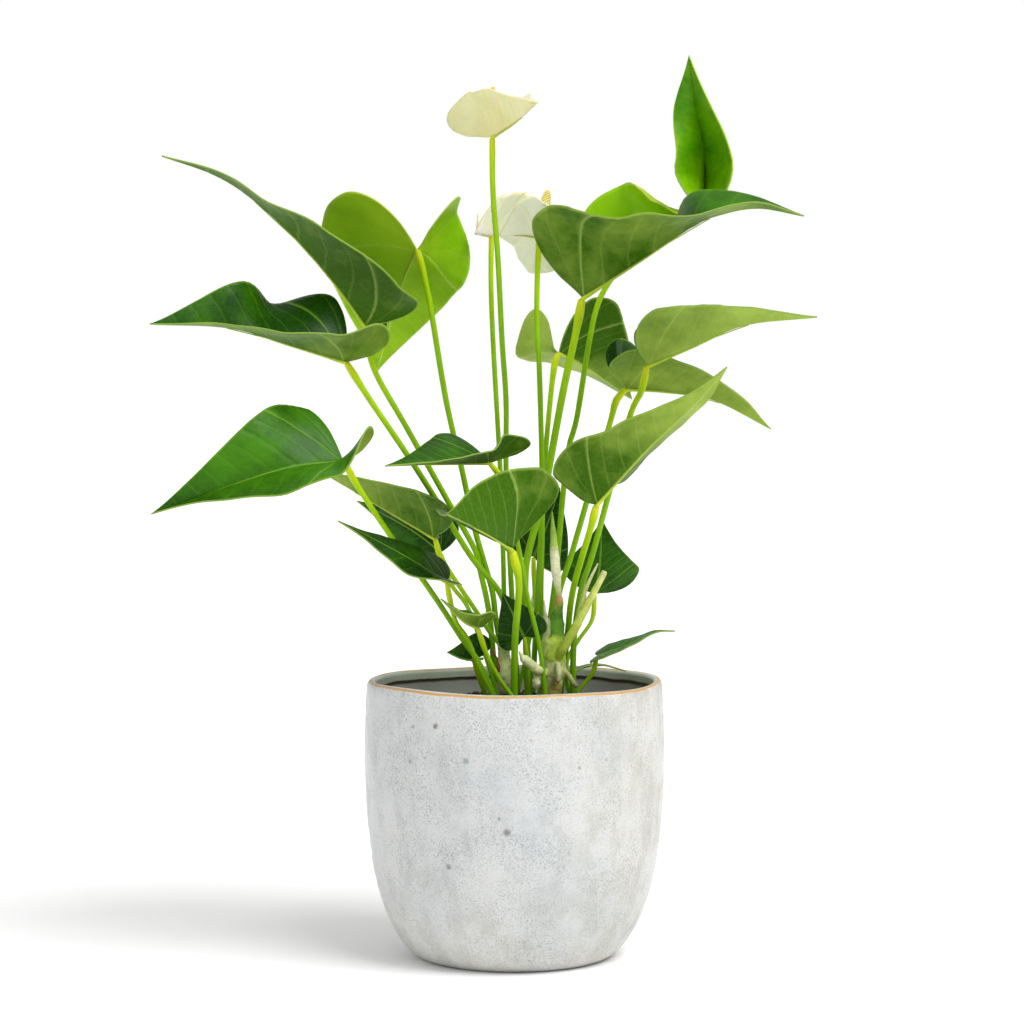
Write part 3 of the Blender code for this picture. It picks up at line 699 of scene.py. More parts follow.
# Each leaf: rib places from the stem's seat to the tip, half width, how far the left and right
# lobes reach back, fold angles of each half, then the stem's foot in mm, the places that the
# stem passes from the mix up, and its radius.
LEAVES = {
    "top_back": dict(
        rib=(
            (632, 256, 71), (668, 232, 67), (700, 199, 59), (704, 150, 45), (695, 104, 36), (689, 55, 30),
        ),
        width=38, lobe=(16, 6), round_tip=0.5,
        left=(0, 0, -87, -48, 0), right=(268, 268, 262, 242, 232), young=True,
        foot=(14, 10),
        via=(
            (554, 590), (558, 552), (563, 495), (569, 447), (577, 417), (590, 337), (599, 301), (614, 275),
        ),
        radius=1.6,
    ),
    "top_right": dict(
        rib=(
            (583, 298, -8), (634, 265, -22), (693, 226, -30), (719, 215, -32), (758, 208, -36),
            (804, 216, -40),
        ),
        width=54, lobe=(6, 8),
        left=(78, 88, 88, 50, 60), right=(0, -20, -58, -84, -75), sweep=(0, 0.1),
        foot=(8, 2), via=((525, 590), (529, 550), (544, 499), (548, 474), (563, 392), (575, 337)),
        radius=2.0,
    ),
    "right_middle": dict(
        rib=((648, 366, -22), (690, 348, -30), (745, 325, -38), (817, 317, -44)), width=38, lobe=(6, 8),
        left=(40, 75, 75, 75, 75), right=(-40, -45, -50, -58, -60), tuck=(0, 90), sweep=(0, 0.55),
        foot=(32, 6), via=((574, 640), (581, 590), (592, 556), (608, 497), (630, 416), (641, 392)),
        radius=1.6,
    ),
    "right_front": dict(
        rib=((597, 505, -58), (612, 488, -61), (653, 443, -70), (694, 405, -78), (727, 367, -84)),
        width=32, lobe=(4, 10),
        left=(60, 98, 100, 105, 130), right=(0, -5, -30, -36, -42), tuck=(0, 70), sweep=(0, 0.15),
        foot=(25, 21), via=((567, 640), (573, 590), (591, 527)),
        radius=1.7,
    ),
    "right_back": dict(
        rib=((627, 389, 21), (670, 392, 17), (714, 400, 12), (771, 429, 3)), width=33, lobe=(14, 8),
        left=(25, 60, 80, 85, 85), right=(-60, -48, -50, -50, -20),
        foot=(21, 9), via=((550, 640), (560, 590), (571, 556), (587, 501), (610, 423), (616, 401)),
        radius=1.6,
    ),
    "back_middle": dict(
        rib=((559, 353, 62), (585, 366, 74), (632, 399, 92)), width=40, lobe=(28, 8),
        left=(108, 108, 105, 100, 100), right=(0, 0, 0, -15, -50),
        round_tip=0.1, tuck=(85, 0), sweep=(0, 0.3), share=(0.87, 1),
        foot=(10, 20), via=((540, 550), (544, 474), (549, 413), (554, 368)),
        radius=1.5,
    ),
    "top_left": dict(
        rib=((366, 327, 20), (343, 294, 14), (304, 247, 8), (255, 201, 4), (215, 175, 2), (162, 156, 0)),
        width=42, lobe=(4, 12),
        left=(-165, -130, -117, -99, -102), right=(110, 105, 98, 93, 95), round_tip=0.12,
        foot=(-10, 12), via=((490, 620), (480, 570), (475, 550), (450, 505), (408, 430), (374, 369)),
        radius=1.6,
    ),
    "left_middle": dict(
        rib=((345, 362, -20), (293, 346, -26), (230, 328, -34), (150, 324, -44)), width=42, lobe=(17, 3),
        left=(-142, -112, -101, -95, -95), right=(135, 140, 120, 165, 165), sweep=(0, 0.25),
        round_tip=0.22, share=(0.82, 1),
        foot=(-3, 4), via=((505, 620), (500, 593), (470, 555), (430, 490), (402, 447), (370, 400)),
        radius=1.6,
    ),
    "left_bright": dict(
        rib=((417, 250, 30), (402, 285, 52), (377, 372, 105)), width=55, lobe=(18, 30), young=True,
        left=(180, 180, 180, 180, 180), right=(75, 8, 0, 0, 0), share=(1, 0.58),
        foot=(-2, 14),
        via=((496, 620), (492, 590), (475, 530), (462, 470), (446, 400), (431, 310), (424, 275)),
        radius=1.6,
    ),
    "left_low": dict(
        rib=((343, 462, -48), (290, 468, -56), (230, 486, -64), (151, 514, -70)), width=37, lobe=(13, 3),
        left=(-125, -80, -64, -68, -80), right=(138, 145, 172, 180, 180), sweep=(0, 0.3), tuck=(0, 60),
        foot=(-9, -20), via=((480, 665), (461, 637), (430, 590), (390, 535), (360, 490)),
        radius=1.5,
    ),
    "left_under": dict(
        rib=((434, 538, -3), (383, 508, -5), (306, 463, -10)),
        width=33, lobe=(3, 3), round_tip=0.1, share=(1, 0.5),
        left=(-125, -128, -128, -124, -110), right=(95, 95, 95, 95, 95),
        foot=(-2, -7), via=((506, 657), (487, 628), (476, 611), (443, 561)),
        radius=1.3,
    ),
    "left_shade": dict(
        rib=((440, 553, 34), (410, 530, 30), (357, 501, 26)), width=24, lobe=(3, 3),
        left=(-75, -60, -50, -50, -60), right=(150, 150, 145, 140, 130), share=(0.8, 0.9),
        foot=(-8, 3), via=((480, 640), (467, 606), (451, 584)),
        radius=1.2,
    ),
    "left_small": dict(
        rib=((446, 582, -46), (400, 554, -56), (338, 521, -62)), width=20, lobe=(3, 3),
        left=(-112, -95, -66, -68, -80), right=(112, 112, 112, 110, 100),
        foot=(-9, -29), via=((480, 670), (468, 640), (456, 622), (450, 600)),
        radius=1.2,
    ),
    "centre_middle": dict(
        rib=((489, 463, -40), (437, 464, -56), (385, 466, -70)), width=28, lobe=(23, 3), share=(0.6, 1),
        left=(-158, -114, -106, -100, -100), right=(123, 123, 123, 123, 120), sweep=(0, 0.35),
        foot=(17, -21), via=((540, 650), (527, 594), (520, 555), (505, 487)),
        radius=1.3,
    ),
    "centre_front": dict(
        rib=((512, 550, -48), (486, 534, -78), (446, 514, -116)), width=45, lobe=(3, 6),
        left=(180, 163, 147, 140, 140), right=(80, 80, 80, 80, 80), sweep=(-0.1, 0),
        foot=(0, -24), via=((515, 640), (519, 585)),
        radius=1.9,
    ),
    "right_low": dict(
        rib=((595, 594, 32), (600, 565, 42), (602, 519, 58)), width=22, lobe=(3, 3),
        left=(30, 25, 10, 0, 0), right=(180, 180, 180, 180, 180), sweep=(0.7, 0.7), tuck=(80, 80),
        foot=(31, 15), via=((567, 663), (578, 641), (592, 620)),
        radius=1.1,
    ),
    "centre_small": dict(
        rib=((524, 636, -19), (512, 612, -21), (502, 592, -23)), width=14, lobe=(4, 4),
        left=(0, 0, 0, 0, 0), right=(180, 180, 180, 180, 180), tuck=(60, 60),
        foot=(8, -15), via=((528, 665),),
        radius=0.9,
    ),
    "front_small": dict(
        rib=((477, 628, -46), (462, 620, -52), (441, 599, -58)), width=15, lobe=(3, 9),
        left=(-150, -142, -132, -120, -110), right=(110, 105, 100, 100, 100),
        foot=(3, -33), via=((500, 680), (487, 655)),
        radius=1.2,
    ),
    "front_rolled": dict(
        rib=((473, 660, -10), (461, 657, -13), (447, 652, -16)), width=15, lobe=(3, 8),
        left=(-112, -100, -90, -85, -80), right=(175, 175, 170, 165, 160), share=(0.6, 1),
        foot=(-14, -3), via=((482, 685),),
        radius=1.3,
    ),
    "right_narrow": dict(
        rib=((598, 656, 0), (628, 645, -6), (654, 632, -10), (675, 631, -12)), width=11, lobe=(3, 3),
        left=(80, 75, 75, 85, 90), right=(-98, -93, -92, -95, -95),
        foot=(35, -3), via=((578, 692), (584, 684), (593, 672)),
        radius=1.1,
    ),
    "back_low": dict(
        rib=((566, 677, 30), (583, 667, 34), (602, 665, 38), (626, 671, 42)), width=11, lobe=(3, 3),
        left=(92, 92, 92, 92, 92), right=(-86, -86, -86, -86, -86),
        foot=(31, 26), via=((568, 688),),
        radius=1.0,
    ),
    "back_small": dict(
        rib=((534, 556, 42), (546, 528, 46), (560, 487, 52)), width=18, lobe=(6, 6),
        left=(0, 0, 0, 0, 0), right=(180, 180, 180, 180, 180), tuck=(60, 60),
        foot=(2, 36), via=((533, 620),),
        radius=1.1,
    ),
}

BLOOMS = {
    "tall": dict(
        rib=((493, 137, -14), (517, 121, -26), (538, 102, -38)), width=27, lobe=(14, 29),
        left=(60, 80, 65, 68, 80), right=(-10, -14, -20, -16, -5),
        round_tip=0.6, tuck=(5, 20), sweep=(0, 0.1),
        spadix=((492, 128, -9), (493, 86, -8)), spadix_radius=2.7,
        foot=(2, 23),
        via=((512, 600), (508, 520), (506, 465), (506, 400), (502, 340), (498, 260), (493, 193)),
        radius=1.5,
    ),
    "back": dict(
        rib=((491, 236, 50), (483, 235, 38), (475, 234, 26)), width=32, lobe=(20, 14),
        left=(-88, -138, -144, -156, -165), right=(160, 160, 162, 168, 175), share=(1, 0.45),
        tuck=(10, 20),
        spadix=((495, 226, 52), (505, 194, 53)), spadix_radius=2.4,
        foot=(-6, 23), via=((504, 600), (502, 520), (500, 465), (498, 430), (493, 340), (491, 285)),
        radius=1.4,
    ),
    "low": dict(
        rib=((538, 237, 14), (520, 235, 12), (499, 236, 11)), width=27, lobe=(8, 17),
        left=(-115, -130, -150, -145, -150), right=(44, 60, 76, 76, 70),
        spadix=((540, 231, 17), (548, 190, 30)), spadix_radius=3.3,
        foot=(16, 22), via=((541, 600), (542, 540), (542, 470), (539, 360), (537, 340), (537, 289)),
        radius=1.5,
    ),
}

CROWN_FOOT = (19, -4)
TRUNK = ((553, 668, -4), (553, 648, -4), (555, 630, -3), (558, 606, -3))
TRUNK_RADII = (6.0, 6.0, 6.8, 7.0, 5.2, 2.2)
TRUNK_SINK = 8
TRUNK_RISE = 5

# Growths too small for the solids: a second crown, a pale bract with its bulb, and thin sheaths
SMALL_SHOOTS = {
    "old_crown": ((506, 694, -14, 4.2), (505, 676, -14, 4.2), (504, 658, -12, 3.4), (501, 640, -12, 1.8)),
    "bract": ((541, 672, -22, 2.4), (534, 667, -24, 2.5), (525, 660, -25, 2.2), (519, 651, -26, 0.8)),
    "bulb": ((537, 688, -20, 2.2), (537, 681, -21, 2.5), (537, 673, -22, 1.6)),
    "sliver": ((533, 640, 2, 0.9), (533, 615, 2, 0.9), (532, 594, 2, 0.4)),
    "twig": ((499, 672, -30, 0.7), (497, 660, -31, 0.7), (494, 652, -32, 1.1), (492, 650, -31, 0.6)),
}

# The colours of each growth, from its root to its tip: (share, colour)
SHOOT_COLOURS = {
    "trunk": (
        (0.0, "6B4A2C"), (0.3, "A8A050"), (0.4, "B4C85A"), (0.58, "C6D878"),
        (0.68, "B8D04A"), (0.73, "5F9420"), (0.93, "5E961C"), (1.0, "8FA040"),
    ),
    "bud": (
        (0.0, "5E961C"), (0.15, "6E9C2A"), (0.2, "C29C58"), (0.38, "CDB06C"), (0.42, "D6DC8E"),
        (0.55, "F3EFC8"), (0.75, "EEEDC0"), (0.8, "A9C45A"), (1.0, "8DB53A"),
    ),
    "stub": ((0.0, "A9C23C"), (0.5, "B6CC4A"), (0.85, "CFD96E"), (1.0, "E2E2A0")),
    "sheath": ((0.0, "A9C24A"), (0.5, "CBD47E"), (1.0, "E3DBA8")),
    "spike": ((0.0, "C9D082"), (0.5, "E9E4BC"), (1.0, "E2D9A8")),
    "root_left": ((0.0, "C3CC84"), (0.6, "B8BF7C"), (1.0, "8C7A4C")),
    "root_right": ((0.0, "BFC980"), (0.6, "A9B56C"), (1.0, "7F7446")),
    "root_front": ((0.0, "B5C274"), (0.5, "C7CF94"), (1.0, "8C7A4C")),
    "old_crown": ((0.0, "7A6A4A"), (0.3, "B6BC84"), (0.7, "BCCC82"), (1.0, "9DB84E")),
    "bract": ((0.0, "C9D28A"), (0.6, "DDE3A6"), (1.0, "E6E6B4")),
    "bulb": ((0.0, "B7AC78"), (0.4, "DDDDB4"), (1.0, "C9D28A")),
    "sliver": ((0.0, "C7CF94"), (1.0, "D9CFA4")),
    "twig": ((0.0, "6E3F22"), (1.0, "8A5530")),
}

# Each shoot of the crown: (u, v, depth, radius) from the trunk outwards
SHOOTS = {
    "bud": (
        (557, 622, -3, 2.0), (559, 602, -3, 2.6), (559, 594, -3, 1.5),
        (556, 572, -4, 2.6), (554, 545, -4, 2.2), (552, 511, -4, 0.5),
    ),
    "stub": ((556, 660, -8, 2.4), (565, 646, -12, 2.6), (584, 611, -14, 2.2), (605, 571, -12, 1.6)),
    "sheath": ((576, 628, -13, 1.8), (581, 606, -12, 1.4), (587, 586, -11, 1.2), (598, 563, -9, 0.5)),
    "spike": ((551, 640, -3, 1.6), (546, 622, -3, 1.4), (544, 600, -2, 0.4)),
    "root_left": ((550, 666, -6, 1.9), (543, 676, -12, 1.7), (537, 684, -14, 1.2)),
    "root_right": ((560, 668, -4, 1.8), (569, 676, -6, 1.7), (577, 687, -9, 1.3)),
    "root_front": ((556, 660, -8, 1.8), (559, 672, -13, 1.7), (557, 683, -15, 1.2)),
}


def pot_radius(height):
    """The pot's outer radius in mm at a height, as the front view's outline gives it."""
    marks = through([Vector((*stop, 0)) for stop in POT_OUTLINE], POT_STEPS)
    return between([(mark.x, mark.y) for mark in marks], height, ease=False)


def hand_made(radius, height, angle):
    """The radius in mm of the hand-made form, where the turned one has this radius."""
    swell = math.sin(2 * angle + 0.6) * 0.5 + math.sin(3 * angle + 2.1) * 0.35
    return radius + swell * min(1.0, height / SWELL_OVER) * min(1.0, radius / SWELL_OVER)


def rim_wave(angle):
    """How far the rim rises and falls round the pot, as a share of its wave."""
    return math.sin(angle * 2 + 0.4) * 0.6 + math.sin(angle * 5 + 1.0) * 0.4


def wave_share(height):
    """How much of the rim's wave the pot's wall takes at a height."""
    return max(0.0, (height - WAVE_FROM) / WAVE_OVER)


def throwing(angle, height):
    """The potter's faint rings and finger dents on the outer wall, in mm."""
    spot = Vector((math.cos(angle), math.sin(angle), height / 45)) * DENT_PLACE
    rings = math.sin(2 * math.pi * (height + 2.5 * noise.noise(spot)) / RING_PITCH)
    fade = min(1.0, height / 10) * min(1.0, (POT_HEIGHT - height) / 8)
    return (rings * RING_DEPTH + noise.noise(spot * 1.9) * DENT) * fade


def pot_profile():
    """(radius, height, wave, wall) in mm from the centre of the base, over the rim, to the inner floor.

    Wave is how much of the rim's wave a round takes. Wall is 1 on the outer wall, where the
    potter's rings show.
    """
    top = pot_radius(POT_HEIGHT)
    rounds_of = [(radius, height, 0, 0) for radius, height in POT_UNDERSIDE]
    for i in range(1, WALL_ROUNDS + 1):
        height = (POT_HEIGHT - RIM_DROP) * (i / WALL_ROUNDS) ** WALL_CROWDING
        rounds_of.append((pot_radius(height), height, wave_share(height), 1))
    for i in range(1, RIM_ROUNDS + 1):
        angle = math.pi * i / RIM_ROUNDS
        radius = top - POT_WALL / 2 + math.cos(angle) * POT_WALL / 2
        rounds_of.append((radius, POT_HEIGHT - RIM_DROP + math.sin(angle) * RIM_DROP, 1, 0))
    for height in INNER_ROUNDS:
        rounds_of.append((pot_radius(height) - POT_WALL, height, wave_share(height), 0))
    return rounds_of + [(radius, height, 0, 0) for radius, height in POT_INSIDE]


def rim_place(profile):
    """How far along the wall's map the rim's crest is."""
    crest = max(range(len(profile)), key=lambda i: profile[i][1])
    walk = 0.0
    for before, after in zip(profile[:crest], profile[1 : crest + 1]):
        walk += math.hypot(after[0] - before[0], after[1] - before[1])
    return walk / 100


def turned(name, profile, sides, finishes, wall):
    """A closed body of rounds of points. Its UV map "wall" holds the share of the turn, and mm / 100."""
    points = []
    walk = [0.0]
    for before, after in zip(profile, profile[1:]):
        walk.append(walk[-1] + math.hypot(after[0] - before[0], after[1] - before[1]))
    for mark in profile:
        for i in range(sides):
            angle = 2 * math.pi * i / sides
            points.append(wall(angle, mark))
    faces = []
    corners = []
    for j in range(len(profile) - 1):
        for i in range(sides):
            after = (i + 1) % sides
            low = j * sides
            faces.append((low + i, low + after, low + sides + after, low + sides + i))
            corners += [(i / sides, walk[j] / 100), ((i + 1) / sides, walk[j] / 100)]
            corners += [((i + 1) / sides, walk[j + 1] / 100), (i / sides, walk[j + 1] / 100)]
    for row, turn in ((0, 1), (len(profile) - 1, -1)):
        centre = len(points)
        points.append(sum((points[row * sides + i] for i in range(sides)), Vector()) / sides)
        for i in range(sides):
            corner = (row * sides + (i + 1) % sides, row * sides + i, centre)
            faces.append(corner[::turn])
            corners += [(i / sides, walk[row] / 100)] * 3
    return mesh_object(name, points, faces, finishes, {"wall": corners})


def pot_wall(angle, mark):
    """The point of the pot's wall at an angle, for a round of its profile."""
    radius, height, wave, outside = mark
    wide = hand_made(radius, height, angle)
    if outside:
        wide += throwing(angle, height)
    level = height + rim_wave(angle) * RIM_WAVE * wave
    return Vector((wide * math.cos(angle), wide * math.sin(angle), level))


def burnt_marks():
    """The places in metres, radii and colours of the dark spots in the glaze."""
    marks = []
    for u, v, radius, colour in BURNT_MARKS:
        depth = -MARK_DEPTH
        for _ in range(MARK_STEPS):
            spot = seen(u, v, depth)
            depth = -math.sqrt(pot_radius(spot.z) ** 2 - spot.x ** 2)
        marks.append((tuple(seen(u, v, depth) * MM), radius * MM, colour))
    return marks


def mix_height(x, y):
    """The mix's surface in mm: mounded round the crown and a little rough."""
    mound = MIX_MOUND * math.exp(-((x - MOUND_ASIDE) ** 2 + y ** 2) / MOUND_REACH ** 2)
    rough = noise.noise(Vector((x, y, 0)) * 0.07) * 1.6
    crumbs = noise.noise(Vector((x, y, 3)) * 0.31) * 1.1 + noise.noise(Vector((x, y, 9)) * 0.8) * 0.5
    return MIX_LEVEL + mound + rough + crumbs


def mix_wall(angle, mark):
    """The point of the mix at an angle, for a round of its profile."""
    radius, height, top, _ = mark
    wide = hand_made(radius, height, angle)
    x = wide * math.cos(angle)
    y = wide * math.sin(angle)
    return Vector((x, y, mix_height(x, y) if top else height))


def make_mix(finish):
    """The mix fills the pot, and its top is crumbly."""
    gap = POT_WALL + MIX_GAP
    profile = [(radius, height, 0, 0) for radius, height in MIX_UNDERSIDE]
    profile += [(pot_radius(height) - gap, height, 0, 0) for height in MIX_RISES]
    edge = pot_radius(MIX_LEVEL) - gap
    for i in range(MIX_ROUNDS):
        profile.append((edge * (1 - i / MIX_ROUNDS), MIX_LEVEL, 1, 0))
    return turned("mix_body", profile, MIX_SIDES, [finish], mix_wall)


def named_inputs(tree, inputs):
    """Gives a Geometry Nodes tree its inputs by name, and a geometry output."""
    tree.interface.new_socket("Geometry", in_out="INPUT", socket_type="NodeSocketGeometry")
    for name, kind in inputs.items():
        tree.interface.new_socket(name, in_out="INPUT", socket_type=kind)
    tree.interface.new_socket("Geometry", in_out="OUTPUT", socket_type="NodeSocketGeometry")
    return add(tree, "NodeGroupInput")


def grown(made, tree, **inputs):
    """The object with a Geometry Nodes tree applied, as a plain mesh."""
    nodes = made.modifiers.new("nodes", "NODES")
    nodes.node_group = tree
    for socket in tree.interface.items_tree:
        if socket.in_out == "INPUT" and socket.name in inputs:
            nodes[socket.identifier] = inputs[socket.name]
    return solid_of(made)


def floret_tree(finish):
    """Florets in a golden spiral over a spadix that stands on the origin along Z."""
    tree = bpy.data.node_groups.new("florets", "GeometryNodeTree")
    given = named_inputs(
        tree,
        {
            "Length": "NodeSocketFloat",
            "Radius": "NodeSocketFloat",
            "Florets": "NodeSocketInt",
            "Turn": "NodeSocketFloat",
        },
    ).outputs
    dots = add(tree, "GeometryNodePoints", {"Count": given["Florets"]})
    index = add(tree, "GeometryNodeInputIndex")
    share = add(tree, "ShaderNodeMath", (index, given["Florets"]), operation="DIVIDE")
    # The radius follows a blunt finger: full at a third, round at the top
    shape = add(tree, "ShaderNodeFloatCurve", {"Value": share})
    curve = shape.mapping.curves[0]
    curve.points[0].location = (0.0, 0.62)
    curve.points[1].location = (1.0, 0.12)
    for place, wide in ((0.12, 0.86), (0.35, 1.0), (0.65, 0.9), (0.86, 0.68), (0.95, 0.46)):
        curve.points.new(place, wide)
    shape.mapping.update()
    radius = add(tree, "ShaderNodeMath", (shape, given["Radius"]), operation="MULTIPLY")
    angle = add(tree, "ShaderNodeMath", (index, given["Turn"]), operation="MULTIPLY")
    level = add(tree, "ShaderNodeMath", (share, given["Length"]), operation="MULTIPLY")
    cosine = add(tree, "ShaderNodeMath", (angle,), operation="COSINE")
    sine = add(tree, "ShaderNodeMath", (angle,), operation="SINE")
    x = add(tree, "ShaderNodeMath", (cosine, radius), operation="MULTIPLY")
    y = add(tree, "ShaderNodeMath", (sine, radius), operation="MULTIPLY")
    spot = add(tree, "ShaderNodeCombineXYZ", {"X": x, "Y": y, "Z": level})
    placed = add(tree, "GeometryNodeSetPosition", {"Geometry": dots, "Position": spot})
    # Each floret is a flattened bead that looks outwards, and upwards near the tip
    rise = add(tree, "ShaderNodeMath", (share, 6.0), operation="POWER")
    outward = add(tree, "ShaderNodeCombineXYZ", {"X": cosine, "Y": sine, "Z": rise})
    looks = add(tree, "FunctionNodeAlignRotationToVector", {"Vector": outward}, axis="Z")
    bead = add(tree, "GeometryNodeMeshIcoSphere", {"Radius": 1.0, "Subdivisions": 2})
    wide = add(tree, "ShaderNodeMath", (radius, given["Radius"]), operation="ADD")
    size = add(tree, "ShaderNodeMath", (wide, 0.125), operation="MULTIPLY")
    flat = add(tree, "ShaderNodeMath", (size, 0.62), operation="MULTIPLY")
    scale = add(tree, "ShaderNodeCombineXYZ", {"X": size, "Y": size, "Z": flat})
    beads = add(
        tree,
        "GeometryNodeInstanceOnPoints",
        {"Points": placed, "Instance": bead, "Rotation": looks, "Scale": scale},
    )
    real = add(tree, "GeometryNodeRealizeInstances", {"Geometry": beads})
    both = add(tree, "GeometryNodeJoinGeometry", {"Geometry": given["Geometry"]})
    tree.links.new(real.outputs[0], both.inputs[0])
    dressed = add(tree, "GeometryNodeSetMaterial", {"Geometry": both, "Material": finish})
    add(tree, "NodeGroupOutput", {"Geometry": dressed})
    return tree


def make_spadix(name, bloom, finish, tree):
    """The flower spike, which stands on the spathe where the stalk meets its underside."""
    low, high = [seen(*place) for place in bloom["spadix"]]
    fat = bloom["spadix_radius"]
    way = (high - low).normalized()
    low -= way * SPADIX_SINK
    long = (high - low).length - fat * BLUNT_END
    path = [Vector((0, 0, long * share)) for share, _ in SPADIX_CORE]
    points, faces, _ = tube(path, [fat * size for _, size in SPADIX_CORE], SPADIX_SIDES)
    core = mesh_object(name, points, faces, [finish])
    ring = fat * FLORET_RING
    made = grown(core, tree, Length=long * MM, Radius=ring * MM, Florets=FLORETS, Turn=GOLDEN_ANGLE)
    turn = Vector((0, 0, 1)).rotation_difference(way).to_matrix().to_4x4()
    made.data.transform(Matrix.Translation(low * MM) @ turn)
    return made


def bark_tree(finish):
    """Bark chips and crumbs scattered over the top of the mix."""
    tree = bpy.data.node_groups.new("bark", "GeometryNodeTree")
    given = named_inputs(
        tree,
        {
            "Density": "NodeSocketFloat",
            "Smallest": "NodeSocketFloat",
            "Largest": "NodeSocketFloat",
            "Level": "NodeSocketFloat",
            "Seed": "NodeSocketInt",
        },
    ).outputs
    place = add(tree, "GeometryNodeInputPosition")
    height = add(tree, "ShaderNodeSeparateXYZ", (place,)).outputs["Z"]
    on_top = add(tree, "FunctionNodeCompare", (height, given["Level"]), operation="GREATER_THAN")
    dots = add(
        tree,
        "GeometryNodeDistributePointsOnFaces",
        {
            "Mesh": given["Geometry"],
            "Selection": on_top,
            "Density": given["Density"],
            "Seed": given["Seed"],
        },
    )
    lump = add(tree, "GeometryNodeMeshIcoSphere", {"Radius": 1.0, "Subdivisions": 2})
    rough = add(tree, "ShaderNodeTexNoise", {"Scale": 1.7, "Detail": 1.0})
    shift = add(
        tree, "ShaderNodeVectorMath", (rough.outputs["Color"], (0.5, 0.5, 0.5)), operation="SUBTRACT"
    )
    chip = add(tree, "GeometryNodeSetPosition", {"Geometry": lump, "Offset": shift})
    turn = add(
        tree,
        "FunctionNodeRandomValue",
        {"Max": (0.7, 0.7, math.tau), "Seed": given["Seed"]},
        data_type="FLOAT_VECTOR",
    )
    size = add(
        tree, "FunctionNodeRandomValue", {"Min": given["Smallest"], "Max": given["Largest"], "Seed": 5}
    )
    form = add(
        tree,
        "FunctionNodeRandomValue",
        {"Min": (0.5, 0.3, 0.18), "Max": (1.3, 0.7, 0.5), "Seed": 7},
        data_type="FLOAT_VECTOR",
    )
    scale = add(tree, "ShaderNodeVectorMath", (form, size), operation="SCALE")
    chips = add(
        tree,
        "GeometryNodeInstanceOnPoints",
        {"Points": dots, "Instance": chip, "Rotation": turn, "Scale": scale},
    )
    shade = add(tree, "FunctionNodeRandomValue", {"Seed": 11})
    marked = add(
        tree,
        "GeometryNodeStoreNamedAttribute",
        {"Geometry": chips, "Name": "chip", "Value": shade},
        domain="INSTANCE",
    )
    real = add(tree, "GeometryNodeRealizeInstances", {"Geometry": marked})
    both = add(tree, "GeometryNodeJoinGeometry", {"Geometry": given["Geometry"]})
    tree.links.new(real.outputs[0], both.inputs[0])
    dressed = add(tree, "GeometryNodeSetMaterial", {"Geometry": both, "Material": finish})
    add(tree, "NodeGroupOutput", {"Geometry": dressed})
    return tree


def make_crown(finish):
    """The short pale crown with its sheathed bud, stubs and surface roots, grown into one piece."""
    x, y = CROWN_FOOT
    foot = [Vector((x, y, MIX_LEVEL - TRUNK_SINK)), Vector((x, y, MIX_LEVEL + TRUNK_RISE))]
    shapes = {"trunk": (foot + [seen(*place) for place in TRUNK], TRUNK_RADII)}
    for name, places in (SHOOTS | SMALL_SHOOTS).items():
        shapes[name] = ([seen(u, v, depth) for u, v, depth, _ in places], [place[3] for place in places])
    points = []
    faces = []
    marks = []
    for name, (path, radii) in shapes.items():
        path = through(path, CROWN_STEPS)
        widths = through([Vector((radius, 0, 0)) for radius in radii], CROWN_STEPS)
        radii = [max(LEAST_RADIUS, width.x) for width in widths]
        wall, sides, _ = tube(path, radii, CROWN_SIDES)
        faces += [tuple(len(points) + k for k in side) for side in sides]
        points += wall
        for i, (spot, radius) in enumerate(zip(path, radii)):
            marks.append((spot, radius, name, i / (len(path) - 1)))
    made = mesh_object("crown_body", points, faces, [finish])
    merge = made.modifiers.new("merge", "REMESH")
    merge.mode = "VOXEL"
    merge.voxel_size = CROWN_VOXEL * MM
    made = solid_of(made)
    ease = made.modifiers.new("ease", "SMOOTH")
    ease.factor = 0.5
    ease.iterations = 3
    made = solid_of(made)
    made.data.materials.clear()
    made.data.materials.append(finish)
    tree = KDTree(len(marks))
    for i, mark in enumerate(marks):
        tree.insert(mark[0], i)
    tree.balance()
    # Each point has the colour of the growth whose wall is nearest, and is a little lumpy
    tint = made.data.attributes.new("tint", "FLOAT_COLOR", "POINT")
    shades = []
    for vertex in made.data.vertices:
        spot = vertex.co / MM
        near = [(away - marks[i][1], i) for _, i, away in tree.find_n(spot, 4)]
        _, _, name, share = marks[min(near)[1]]
        colours = SHOOT_COLOURS[name]
        low = max(i for i in range(len(colours)) if colours[i][0] <= share)
        high = min(low + 1, len(colours) - 1)
        part = (share - colours[low][0]) / max(colours[high][0] - colours[low][0], 1e-6)
        shade = Vector(hexed(colours[low][1])).lerp(Vector(hexed(colours[high][1])), min(part, 1.0))
        shades.extend(shade)
        smooth = FRESH_LUMPS if name in FRESH_SHOOTS else 1.0
        lump = noise.noise(spot * 0.22) * 0.9 + noise.noise(spot * 0.6) * 0.35
        vertex.co += vertex.normal * lump * smooth * MM
    tint.data.foreach_set("color", shades)
    return made


def blank(name):
    """A new material with an empty tree."""
    made = bpy.data.materials.new(name)
    made.use_nodes = True
    made.node_tree.nodes.clear()
    return made, made.node_tree


